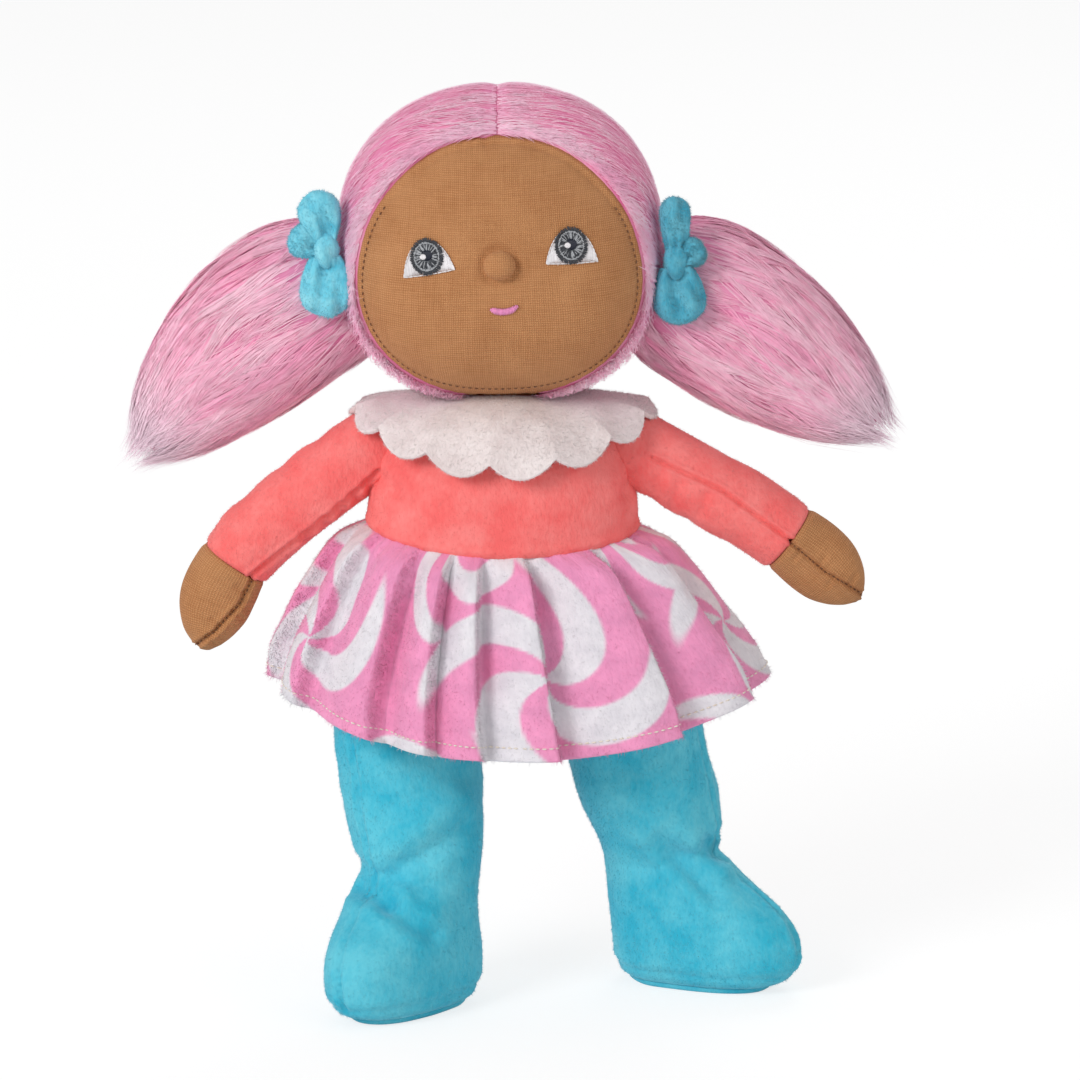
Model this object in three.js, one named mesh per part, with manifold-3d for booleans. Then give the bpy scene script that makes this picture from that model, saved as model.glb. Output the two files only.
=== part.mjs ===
import * as THREE from 'three';
import { mergeVertices } from 'three/addons/utils/BufferGeometryUtils.js';
import Module from 'manifold-3d';

const wasm = await Module();
wasm.setup();

// Sizes are in millimetres and angles in degrees. X runs to the doll's left, Y to its back, Z up.
const seamGap = 0.3; // between pieces that are sewn to each other
const turnGap = 0.6; // between stuffed pieces that move against each other
const clothThick = 1.4; // face cloth
const furThick = 2.4; // pile of the hair cap over the face cloth's level
const threadThick = 0.45; // one layer of embroidery
const threadGap = 0.15; // between two layers of embroidery

const legLength = 138; // floor to hip
const seatRise = 38; // hip to waist
const seatSag = 4; // bottom of the seat below the hips' middle
const bodiceHeight = 54; // waist to the base of the neck
const neckHeight = 12; // base of the neck to the point where the head nods
const headRaise = 49; // nod point to the middle of the head
const headHalf = new THREE.Vector3(60, 50, 58);
const headShift = -1; // the head sits a little to the right
const headRoll = 1; // left side of the head up
const headPitch = 10; // face tipped up
const faceSeam = 29.4; // seam between face and hair, in front of the head's middle
const faceLean = 13.8; // lean of that seam, brow forward
const neckRadius = 12.5;
const neckBall = 15;
const neckOpening = 16; // lift of the hollow under the head, for nodding

const waistHalf = new THREE.Vector2(52, 36);
const shoulderDrop = 18; // base of the neck to the middle of the shoulder
const shoulderInset = 3; // middle of the shoulder inside the waist's half width
const shoulderOut = waistHalf.x - shoulderInset;
const shoulderBall = 15;
const sleeveLength = 69;
const cuffRadius = 13.6;
const handLength = 36;
const handHalf = new THREE.Vector2(14.4, 10.5);
const armTravel = [-30, 90];
const arms = [
  { name: 'left', side: 1, sleeveDip: 30.5, handDip: 42, eyeTurn: 2 },
  { name: 'right', side: -1, sleeveDip: 40, handDip: 72, eyeTurn: 8 },
];

const hipOut = waistHalf.x * 0.77;
const hipBall = 24;
const legHalf = 27.6;
const ankleHalf = 22.6;
const ankleHeight = 50;
const footFront = 52; // ankle axis to toe
const footBack = 22.5; // ankle axis to heel
const footHalf = 22;
const soleThick = 2.4;
const soleInset = 2;
const hipTravel = [-25, 80];
const legs = [
  { name: 'left', side: 1, ankle: [62, 11], foot: [67, 11], toeOut: 64 },
  { name: 'right', side: -1, ankle: [-32, -17], foot: [-31, -22], toeOut: 35 },
];

const skirtThick = 1.8;
const skirtLength = 53; // at the sides
const skirtDip = new THREE.Vector2(19, 15); // further drop of the hem at front and back
const skirtFlare = new THREE.Vector2(42, 27); // growth of the half sizes from waist to hem
const skirtSway = 6;
const pleatDepth = 9.4; // of the deepest pleats, on the doll's front
const pleatEdges = [ // degrees round the skirt of each pleat's steep edge, front at -90
  -201, -175, -149, -122.3, -107.6, -96.1, -81.1, -50.1, -21.7, 5, 32, 60, 86, 112, 138, 159,
];
const pleatShares = [0.64, 0.64, 0.7, 0.85, 0.68, 1, 1, 0.85, 0.68, 0.64, 0.64, 0.64, 0.64, 0.64, 0.64];

const collarThick = 2;
const collarHalf = new THREE.Vector2(54, 41);
const collarScallops = 14;
const scallopDrop = 5.6;
const collarNeck = 3; // collar's inner edge outside the neck's room
const collarClear = 2.4; // collar over the shoulders
const collarHang = 16.6; // collar's front edge below the base of the neck

const tailLength = 107;
const tailHalf = 32;
const tailFlat = 0.72; // depth of a pigtail against its width
const tailTravel = 35;
const rootPlace = new THREE.Vector3(headHalf.x - 2, 6, -13); // from the head's middle, left side
const knotHalf = new THREE.Vector3(5.6, 6, 6.8);
const knotGrip = 2; // start of a loop from the knot's middle
const tails = [
  { name: 'left', side: 1, dip: 35 },
  { name: 'right', side: -1, dip: 41 },
];
const bowSet = {
  left: {
    knot: [64, -22, -7],
    loops: [
      { name: 'upper', turn: 92, length: 26, half: 6.4, thick: 5 },
      { name: 'side', turn: 24, length: 14, half: 5.4, thick: 4.2 },
      { name: 'lower', turn: -80, length: 20, half: 9.6, thick: 5.6 },
    ],
  },
  right: {
    knot: [64, -22, -2],
    loops: [
      { name: 'upper', turn: 88, length: 21, half: 7.2, thick: 5 },
      { name: 'side', turn: 26, length: 12, half: 6.4, thick: 4.4 },
      { name: 'lower', turn: -92, length: 25, half: 8.8, thick: 5.6 },
    ],
  },
};

const eyeOut = 26.7;
const eyeRaise = -4.6;
const eyeStep = 1.6; // left eye above the middle of the pair, right eye below it
const eyeHalf = new THREE.Vector2(9.7, 7);
const irisHalf = new THREE.Vector2(6.1, 6.6);
const pupilRadius = 2.2;
const glance = 0.4; // pupils to the doll's right of the iris middle
const nosePlace = new THREE.Vector2(1.4, -10.6);
const noseHalf = new THREE.Vector3(6.5, 5.4, 6);
const mouthPlace = new THREE.Vector2(1.6, -27.5);
const mouthHalf = new THREE.Vector2(5.2, 1.4);

const colours = {
  linen: 0xb9845a,
  fur: 0xeba6c8,
  coral: 0xf97774,
  blue: 0x48bcd8,
  collar: 0xe8dcdc,
  print: 0xf0a8cc,
  eyeWhite: 0xf2f0f0,
  iris: 0x6a6d72,
  pupil: 0x10131f,
  mouth: 0xe98fc4,
  core: 0xf4f1ea,
};

// Heights that follow from the sizes above.
const waistZ = legLength + seatRise;
const neckZ = waistZ + bodiceHeight;
const nodPoint = new THREE.Vector3(0, 2, neckZ + neckHeight);
const headMiddle = new THREE.Vector3(headShift, 0, nodPoint.z + headRaise);
const shoulderZ = neckZ - shoulderDrop;

const rad = THREE.MathUtils.degToRad;
const mix = THREE.MathUtils.lerp;
const group = new THREE.Group();
group.name = 'cloth_doll';

// Reads a smooth curve that passes through [position, value] stops.
function along(stops, at) {
  const last = stops.length - 1;
  const spot = Math.min(Math.max(at, stops[0][0]), stops[last][0]);
  let i = 0;
  while (i < last - 1 && spot > stops[i + 1][0]) {
    i += 1;
  }
  const slope = (k) => {
    const a = stops[Math.max(k - 1, 0)];
    const b = stops[Math.min(k + 1, last)];
    return (b[1] - a[1]) / (b[0] - a[0]);
  };
  const span = stops[i + 1][0] - stops[i][0];
  const t = (spot - stops[i][0]) / span;
  const t2 = t * t;
  const t3 = t2 * t;
  const start = (2 * t3 - 3 * t2 + 1) * stops[i][1] + (t3 - 2 * t2 + t) * span * slope(i);
  const end = (3 * t2 - 2 * t3) * stops[i + 1][1] + (t3 - t2) * span * slope(i + 1);
  return start + end;
}

// Joins rings with the same count of points; the ends close to their middles, or meet if looped.
function skin(rings, looped = false) {
  const count = rings[0].length;
  const flat = [];
  const faces = [];
  rings.forEach((ring) => ring.forEach((p) => flat.push(p.x, p.y, p.z)));
  const steps = looped ? rings.length : rings.length - 1;
  for (let i = 0; i < steps; i += 1) {
    const next = (i + 1) % rings.length;
    for (let j = 0; j < count; j += 1) {
      const k = (j + 1) % count;
      faces.push(i * count + j, i * count + k, next * count + k);
      faces.push(i * count + j, next * count + k, next * count + j);
    }
  }
  if (!looped) {
    [0, rings.length - 1].forEach((end) => {
      const middle = new THREE.Vector3();
      rings[end].forEach((p) => middle.addScaledVector(p, 1 / count));
      const hub = flat.length / 3;
      flat.push(middle.x, middle.y, middle.z);
      for (let j = 0; j < count; j += 1) {
        const a = end * count + j;
        const b = end * count + ((j + 1) % count);
        faces.push(hub, end === 0 ? b : a, end === 0 ? a : b);
      }
    });
  }
  const geometry = new THREE.BufferGeometry();
  geometry.setAttribute('position', new THREE.Float32BufferAttribute(flat, 3));
  geometry.setIndex(faces);
  return faceOut(geometry);
}

// Turns the triangles round where a surface was wound inside out.
function faceOut(geometry) {
  const at = geometry.attributes.position;
  const index = geometry.index.array;
  const [a, b, c] = [new THREE.Vector3(), new THREE.Vector3(), new THREE.Vector3()];
  let volume = 0;
  for (let i = 0; i < index.length; i += 3) {
    a.fromBufferAttribute(at, index[i]);
    b.fromBufferAttribute(at, index[i + 1]);
    c.fromBufferAttribute(at, index[i + 2]);
    volume += a.dot(b.cross(c));
  }
  if (volume < 0) {
    for (let i = 0; i < index.length; i += 3) {
      const keep = index[i];
      index[i] = index[i + 1];
      index[i + 1] = keep;
    }
  }
  return geometry;
}

function toSolid(geometry) {
  const plain = geometry.clone();
  plain.deleteAttribute('normal');
  plain.deleteAttribute('uv');
  const merged = faceOut(mergeVertices(plain, 1e-4));
  const mesh = new wasm.Mesh({
    numProp: 3,
    vertProperties: Float32Array.from(merged.attributes.position.array),
    triVerts: Uint32Array.from(merged.index.array),
  });
  return new wasm.Manifold(mesh);
}

// The main body of a solid, without crumbs that a cut may leave.
function toGeometry(solid) {
  const bodies = solid.decompose();
  bodies.sort((a, b) => b.volume() - a.volume());
  const mesh = bodies[0].getMesh();
  const geometry = new THREE.BufferGeometry();
  geometry.setAttribute('position', new THREE.Float32BufferAttribute(mesh.vertProperties, 3));
  geometry.setIndex(Array.from(mesh.triVerts));
  return geometry;
}

function addPiece(name, geometry, colour, roughness = 0.95) {
  geometry.computeVertexNormals();
  const material = new THREE.MeshStandardMaterial({ color: colour, roughness, metalness: 0 });
  const mesh = new THREE.Mesh(geometry, material);
  mesh.name = name;
  group.add(mesh);
}

// A copy of a geometry turned about an axis through a point.
function turned(geometry, pivot, axis, degrees) {
  const move = new THREE.Matrix4().makeTranslation(pivot.x, pivot.y, pivot.z);
  move.multiply(new THREE.Matrix4().makeRotationAxis(axis, rad(degrees)));
  move.multiply(new THREE.Matrix4().makeTranslation(-pivot.x, -pivot.y, -pivot.z));
  return geometry.clone().applyMatrix4(move);
}

function ball(place, radius, wide = 18, tall = 10) {
  return new THREE.SphereGeometry(radius, wide, tall).translate(place.x, place.y, place.z);
}

// A level ring with half sizes that can differ to the front, the back and the sides.
function levelRing(middle, halfX, halfY, count, power = 2.2) {
  return Array.from({ length: count }, (_, j) => {
    const turn = (j / count) * Math.PI * 2;
    const x = Math.sign(Math.cos(turn)) * Math.abs(Math.cos(turn)) ** (2 / power) * halfX;
    const y = Math.sign(Math.sin(turn)) * Math.abs(Math.sin(turn)) ** (2 / power) * halfY;
    return new THREE.Vector3(middle.x + x, middle.y + y, middle.z);
  });
}

// A stuffed limb along a curve in the upright plane of the shoulders.
function limb(curve, spots, wide, deep, count) {
  const back = new THREE.Vector3(0, 1, 0);
  const rings = spots.map((t, i) => {
    const p = curve.getPoint(t);
    const across = new THREE.Vector3().crossVectors(curve.getTangent(t), back).normalize();
    return Array.from({ length: count }, (_, j) => {
      const turn = (j / count) * Math.PI * 2;
      const point = p.clone().addScaledVector(across, Math.cos(turn) * wide[i]);
      return point.addScaledVector(back, Math.sin(turn) * deep[i]);
    });
  });
  return skin(rings);
}

const spread = (count, first = 0, last = 1) =>
  Array.from({ length: count }, (_, i) => mix(first, last, i / (count - 1)));

// Torso: the bodice stands on the seat, with hollows for the shoulders, hips and neck.
const bodiceWide = [[0, 1], [0.25, 0.98], [0.55, 0.93], [0.78, 0.82], [0.92, 0.62], [1, 0.42]];
const bodiceDeep = [[0, 1], [0.25, 1.03], [0.55, 0.98], [0.78, 0.83], [0.92, 0.65], [1, 0.52]];
const bodiceSpots = [0, 0.12, 0.28, 0.45, 0.6, 0.74, 0.85, 0.93, 1];
const bodiceRings = (grow) => bodiceSpots.map((t) => {
  const middle = new THREE.Vector3(0, 0, waistZ + t * bodiceHeight);
  const halfX = waistHalf.x * along(bodiceWide, t);
  return levelRing(middle, halfX + grow, waistHalf.y * along(bodiceDeep, t) + grow, 28);
});
const shoulderPoint = (arm) => new THREE.Vector3(arm.side * shoulderOut, 0, shoulderZ);
const neckFoot = neckZ - neckHeight;
let bodice = toSolid(skin(bodiceRings(0)));
arms.forEach((arm) => {
  bodice = bodice.subtract(toSolid(ball(shoulderPoint(arm), shoulderBall + turnGap)));
});
const neckWell = neckHeight * 3.4; // reaches past the top of the bodice
const neckHole = new THREE.CylinderGeometry(neckRadius + turnGap, neckRadius + turnGap, neckWell, 24);
neckHole.rotateX(Math.PI / 2).translate(nodPoint.x, nodPoint.y, neckFoot - seamGap + neckWell / 2);
bodice = bodice.subtract(toSolid(neckHole));
addPiece('bodice', toGeometry(bodice), colours.coral);

const seatHalf = waistHalf.clone().subScalar(skirtThick + 2 * seamGap);
const seatWide = [[0, 1], [0.4, 1], [0.7, 0.88], [0.9, 0.6], [1, 0.25]];
const seatDrop = seatRise + seatSag;
const seatRings = [0, 0.2, 0.4, 0.55, 0.7, 0.82, 0.92, 1].map((t) => {
  const middle = new THREE.Vector3(0, 0, waistZ - seamGap - t * seatDrop);
  return levelRing(middle, seatHalf.x * along(seatWide, t), seatHalf.y * along(seatWide, t), 28);
});
const hipPoint = (leg) => new THREE.Vector3(leg.side * hipOut, 0, legLength);
const sideways = new THREE.Vector3(1, 0, 0);
let seat = toSolid(skin(seatRings));
legs.forEach((leg) => {
  const hip = hipPoint(leg);
  const reach = hip.clone().sub(new THREE.Vector3(leg.ankle[0], leg.ankle[1], ankleHeight));
  const roomHalf = legHalf + 2.6 * turnGap;
  const roomLength = legLength * 0.58; // reaches past the bottom of the seat
  const room = new THREE.CylinderGeometry(roomHalf, roomHalf, roomLength, 18);
  room.translate(0, -roomLength / 2, 0);
  const lean = new THREE.Quaternion().setFromUnitVectors(new THREE.Vector3(0, 1, 0), reach.normalize());
  room.applyQuaternion(lean).translate(hip.x, hip.y, hip.z);
  const turns = spread(6, hipTravel[0], hipTravel[1]);
  turns.forEach((turn) => {
    seat = seat.subtract(toSolid(turned(room, hip, sideways, -turn)));
  });
  seat = seat.subtract(toSolid(ball(hip, hipBall + 1.8 * turnGap, 22, 14)));
});
addPiece('seat', toGeometry(seat), colours.core);

// Neck: a short stuffed post that turns in the bodice and carries the head on a ball.
const neckArc = spread(9, Math.asin(neckRadius / neckBall), Math.PI);
const neckProfile = [new THREE.Vector2(0, neckFoot), new THREE.Vector2(neckRadius, neckFoot)];
neckArc.slice(0, -1).forEach((turn) => {
  const up = nodPoint.z - Math.cos(turn) * neckBall;
  neckProfile.push(new THREE.Vector2(Math.sin(turn) * neckBall, up));
});
neckProfile.push(new THREE.Vector2(0, nodPoint.z + neckBall));
const neck = new THREE.LatheGeometry(neckProfile, 20).rotateX(Math.PI / 2);
neck.translate(nodPoint.x, nodPoint.y, 0);
addPiece('neck', toGeometry(toSolid(neck)), colours.linen);

// Head: one rounded form, fuller below, grown or shrunk for each layer of it.
const headPlace = new THREE.Matrix4().makeTranslation(headMiddle.x, headMiddle.y, headMiddle.z);
headPlace.multiply(new THREE.Matrix4().makeRotationY(rad(-headRoll)));
headPlace.multiply(new THREE.Matrix4().makeRotationX(rad(-headPitch)));
function headReach(way, grow) {
  const power = mix(2.45, 2.2, THREE.MathUtils.smoothstep(way.z, -0.4, 0.4));
  const share = ['x', 'y', 'z'].map((k) => (Math.abs(way[k]) / (headHalf[k] + grow)) ** power);
  return share.reduce((sum, value) => sum + value) ** (-1 / power);
}
function headForm(grow, wide = 24, tall = 15) {
  const form = mergeVertices(new THREE.SphereGeometry(1, wide, tall).deleteAttribute('uv'));
  form.deleteAttribute('normal');
  const merged = mergeVertices(form);
  const at = merged.attributes.position;
  const way = new THREE.Vector3();
  for (let i = 0; i < at.count; i += 1) {
    way.fromBufferAttribute(at, i).normalize();
    way.multiplyScalar(headReach(way, grow));
    at.setXYZ(i, way.x, way.y, way.z);
  }
  return merged;
}
const inWorld = (geometry) => geometry.clone().applyMatrix4(headPlace);
// A block that fills the head's front, up to a set distance before the face seam.
const blockSize = headHalf.x * 5;
function frontBlock(before) {
  const block = new THREE.BoxGeometry(blockSize, blockSize, blockSize);
  block.translate(0, -blockSize / 2 - before, 0);
  return block.rotateX(rad(faceLean)).translate(0, -faceSeam, 0);
}
function sideBlock(side) {
  const block = new THREE.BoxGeometry(blockSize, blockSize, blockSize);
  return block.translate((side * (blockSize + seamGap)) / 2, 0, 0);
}
const neckFree = rad(neckOpening);
const hollowReach = headHalf.x * 1.17;
const hollow = [new THREE.Vector2(0, -hollowReach), new THREE.Vector2(hollowReach, -hollowReach)];
hollow.push(new THREE.Vector2(hollowReach, -hollowReach * Math.tan(neckFree)));
const socket = neckBall + turnGap;
const hollowRise = spread(8, Math.PI / 2 - neckFree, Math.PI);
hollowRise.slice(0, -1).forEach((turn) => {
  hollow.push(new THREE.Vector2(Math.sin(turn) * socket, -Math.cos(turn) * socket));
});
hollow.push(new THREE.Vector2(0, socket));
const neckRoom = new THREE.LatheGeometry(hollow, 20).rotateX(Math.PI / 2);
neckRoom.translate(nodPoint.x, nodPoint.y, nodPoint.z);
const neckSolid = toSolid(neckRoom);
const inner = toSolid(inWorld(headForm(-clothThick)));
const core = toSolid(inWorld(headForm(-clothThick - seamGap))).subtract(neckSolid);
addPiece('head_stuffing', toGeometry(core), colours.core);
const faceShell = toSolid(inWorld(headForm(0))).subtract(inner).subtract(neckSolid);
const face = faceShell.intersect(toSolid(inWorld(frontBlock(seamGap / 2))));
addPiece('face_panel', toGeometry(face), colours.linen);
const furShell = toSolid(inWorld(headForm(furThick))).subtract(inner).subtract(neckSolid);
const hair = furShell.subtract(toSolid(inWorld(frontBlock(-seamGap / 2))));
arms.forEach((half) => {
  const cap = hair.intersect(toSolid(inWorld(sideBlock(half.side))));
  addPiece(`hair_cap_${half.name}`, toGeometry(cap), colours.fur, 1);
});

// Face details: flat shapes are carried on to the face in thin layers.
function faceLayer(shape, place, level, name, colour, turn = 0) {
  const depth = headHalf.y * 1.6;
  const prism = new THREE.ExtrudeGeometry(shape, { depth, bevelEnabled: false, curveSegments: 5 });
  prism.rotateX(Math.PI / 2).rotateY(rad(-turn)).translate(place.x, 0, place.y);
  const low = threadGap + level * (threadThick + threadGap);
  const over = toSolid(inWorld(headForm(low + threadThick)));
  const layer = over.subtract(toSolid(inWorld(headForm(low))));
  addPiece(name, toGeometry(layer.intersect(toSolid(inWorld(prism)))), colour, 0.6);
}
function eyeShape() {
  const shape = new THREE.Shape();
  const low = -eyeHalf.y * 0.88;
  shape.moveTo(-eyeHalf.x, low);
  shape.quadraticCurveTo(0, -eyeHalf.y * 1.1, eyeHalf.x, low);
  shape.quadraticCurveTo(eyeHalf.x * 0.72, eyeHalf.y * 0.96, 0, eyeHalf.y);
  shape.quadraticCurveTo(-eyeHalf.x * 0.72, eyeHalf.y * 0.96, -eyeHalf.x, low);
  return shape;
}
function ovalShape(halfX, halfY) {
  return new THREE.Shape().absellipse(0, 0, halfX, halfY, 0, Math.PI * 2);
}
function mouthShape() {
  const shape = new THREE.Shape();
  const bend = mouthHalf.y * 1.1;
  shape.moveTo(-mouthHalf.x, mouthHalf.y * 0.6);
  shape.quadraticCurveTo(-mouthHalf.x, -mouthHalf.y, 0, -mouthHalf.y - bend * 0.4);
  shape.quadraticCurveTo(mouthHalf.x, -mouthHalf.y, mouthHalf.x, mouthHalf.y + bend);
  shape.quadraticCurveTo(mouthHalf.x * 0.7, mouthHalf.y * 1.2 + bend, mouthHalf.x * 0.5, mouthHalf.y);
  shape.quadraticCurveTo(0, mouthHalf.y * 0.5, -mouthHalf.x, mouthHalf.y * 0.6);
  return shape;
}
arms.forEach((half) => {
  const place = new THREE.Vector2(half.side * eyeOut, eyeRaise + half.side * eyeStep);
  const look = place.clone().add(new THREE.Vector2(-glance, 0));
  faceLayer(eyeShape(), place, 0, `${half.name}_eye_white`, colours.eyeWhite, half.eyeTurn);
  faceLayer(ovalShape(irisHalf.x, irisHalf.y), place, 1, `${half.name}_iris`, colours.iris);
  faceLayer(ovalShape(pupilRadius, pupilRadius), look, 2, `${half.name}_pupil`, colours.pupil);
});
faceLayer(mouthShape(), mouthPlace, 0, 'mouth', colours.mouth);
const noseWay = new THREE.Vector3(nosePlace.x, -headHalf.y, nosePlace.y).normalize();
const nosePoint = noseWay.clone().multiplyScalar(headReach(noseWay, 0));
const noseForm = new THREE.SphereGeometry(1, 16, 10).scale(noseHalf.x, noseHalf.y, noseHalf.z);
noseForm.translate(nosePoint.x, nosePoint.y, nosePoint.z);
const nose = toSolid(inWorld(noseForm)).subtract(toSolid(inWorld(headForm(seamGap))));
addPiece('nose', toGeometry(nose), colours.linen);

// Collar: a scalloped cape over the shoulders, from the base of the neck outwards.
const collarSideZ = shoulderZ + shoulderBall + collarClear;
const collarFrontZ = neckZ - collarHang;
const collarInner = neckRadius + turnGap + collarNeck;
function collarPoint(turn, t, lift) {
  const front = Math.sin(turn) ** 2;
  const wave = Math.abs(Math.cos((collarScallops / 2) * (turn + Math.PI / 2 - rad(8)))) ** 0.8;
  const drop = wave * scallopDrop * mix(0.55, 1, front);
  const low = mix(collarSideZ, collarFrontZ, front) - drop;
  const out = [collarInner, collarHalf.x * 0.8, collarHalf.x + drop * (1 - front) * 0.35];
  const deep = [collarInner, collarHalf.y * 0.77, collarHalf.y + drop * 0.15];
  const high = [neckZ + 2 * seamGap, neckZ + 4 * seamGap, low];
  const weights = [(1 - t) ** 2, 2 * t * (1 - t), t * t];
  const sum = (list) => list.reduce((total, value, i) => total + value * weights[i], 0);
  const steep = t * mix(0.75, 1, front);
  const x = Math.cos(turn) * (sum(out) + lift * steep);
  const y = Math.sin(turn) * (sum(deep) + lift * steep);
  return new THREE.Vector3(x, y, sum(high) + lift * Math.sqrt(1 - 0.94 * steep * steep));
}
const collarRows = [0, 0.22, 0.5, 0.78, 1];
const collarRing = (t, lift) =>
  Array.from({ length: 56 }, (_, j) => collarPoint((j / 56) * Math.PI * 2, t, lift));
const collarRings = collarRows.map((t) => collarRing(t, collarThick));
collarRings.push(...collarRows.slice().reverse().map((t) => collarRing(t, 0)));
addPiece('collar', skin(collarRings, true), colours.collar, 1);

// Skirt: a gathered sheet that flares from the waist seam and hangs in knife pleats. Each pleat rises
// gently across its width and drops steeply at its edge on the doll's left.
const skirtWide = [[0, 0], [0.07, 0.2], [0.2, 0.36], [0.5, 0.64], [0.8, 0.9], [1, 1]];
const pleatSwell = [[0, 0], [0.08, 0.75], [0.3, 1], [0.7, 1], [1, 0.78]];
const pleatRamp = [0, 0.22, 0.42, 0.6, 0.76, 0.86, 0.93];
function skirtPoint(pleat, share, t, inward) {
  const span = pleatEdges[pleat + 1] - pleatEdges[pleat];
  const rise = THREE.MathUtils.smoothstep(share, 0, 0.72);
  const ridge = rise * (1 - THREE.MathUtils.smoothstep(share, 0.84, 1));
  const turn = THREE.MathUtils.degToRad(pleatEdges[pleat] + span * (share + 0.04 * ridge));
  const side = Math.sin(turn);
  const dip = side < 0 ? skirtDip.x : skirtDip.y;
  const hem = waistZ - seamGap - skirtLength - dip * side * side;
  const fold = (ridge - 0.5) * pleatDepth * pleatShares[pleat] * along(pleatSwell, t) - inward;
  const flare = along(skirtWide, t);
  const halfX = waistHalf.x - seamGap + skirtFlare.x * flare + fold;
  const halfY = waistHalf.y - seamGap + skirtFlare.y * flare + fold;
  const x = Math.sign(Math.cos(turn)) * Math.abs(Math.cos(turn)) ** (2 / 2.2) * halfX;
  const y = Math.sign(side) * Math.abs(side) ** (2 / 2.2) * halfY;
  return new THREE.Vector3(x + skirtSway * t * t, y, mix(waistZ - seamGap, hem, t));
}
const skirtRows = [0, 0.07, 0.25, 0.6, 1];
const skirtRing = (t, inward) =>
  pleatShares.flatMap((_, pleat) => pleatRamp.map((share) => skirtPoint(pleat, share, t, inward)));
const skirtRings = skirtRows.map((t) => skirtRing(t, 0));
skirtRings.push(...skirtRows.slice().reverse().map((t) => skirtRing(t, skirtThick)));
addPiece('skirt', skin(skirtRings, true), colours.print, 1);

// Arms: a stuffed sleeve on a ball at the shoulder, and a mitten hand sewn to its cuff.
arms.forEach((arm) => {
  const start = shoulderPoint(arm);
  const dipWay = (dip) => new THREE.Vector3(arm.side * Math.cos(rad(dip)), 0, -Math.sin(rad(dip)));
  const sleeveWay = dipWay(arm.sleeveDip);
  const handWay = dipWay(arm.handDip);
  const bendWay = sleeveWay.clone().add(handWay).normalize();
  const cuff = start.clone().addScaledVector(sleeveWay, sleeveLength);
  const elbow = cuff.clone().addScaledVector(bendWay, -sleeveLength * 0.3);
  const sleeveCurve = new THREE.QuadraticBezierCurve3(start, elbow, cuff);
  const sleeveSpots = [0, 0.2, 0.4, 0.6, 0.8, 1];
  const girth = [[0, 0.97], [0.3, 0.96], [0.6, 0.97], [0.85, 0.94], [1, cuffRadius / shoulderBall]];
  const sleeveWide = sleeveSpots.map((t) => shoulderBall * along(girth, t));
  let sleeve = toSolid(limb(sleeveCurve, sleeveSpots, sleeveWide, sleeveWide, 18));
  const chest = skin(bodiceRings(turnGap));
  spread(9, armTravel[0], armTravel[1]).forEach((turn) => {
    sleeve = sleeve.subtract(toSolid(turned(chest, start, sideways, turn)));
  });
  sleeve = sleeve.add(toSolid(ball(start, shoulderBall)));
  addPiece(`${arm.name}_sleeve`, toGeometry(sleeve), colours.coral);
  const wrist = cuff.clone().addScaledVector(bendWay, seamGap);
  const tip = wrist.clone().addScaledVector(handWay, handLength);
  const palm = wrist.clone().addScaledVector(bendWay, handLength * 0.45);
  const handCurve = new THREE.QuadraticBezierCurve3(wrist, palm, tip);
  const handSpots = [0, 0.18, 0.4, 0.6, 0.78, 0.91, 0.99];
  const handWide = [
    [0, cuffRadius / handHalf.x], [0.35, 1], [0.6, 0.93], [0.8, 0.7], [0.93, 0.4], [1, 0.12],
  ];
  const handDeep = [
    [0, cuffRadius / handHalf.y], [0.35, 1], [0.6, 0.92], [0.8, 0.72], [0.93, 0.42], [1, 0.12],
  ];
  const wide = handSpots.map((t) => handHalf.x * along(handWide, t));
  const deep = handSpots.map((t) => handHalf.y * along(handDeep, t));
  const hand = limb(handCurve, handSpots, wide, deep, 18);
  addPiece(`${arm.name}_hand`, hand, colours.linen);
});

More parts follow.
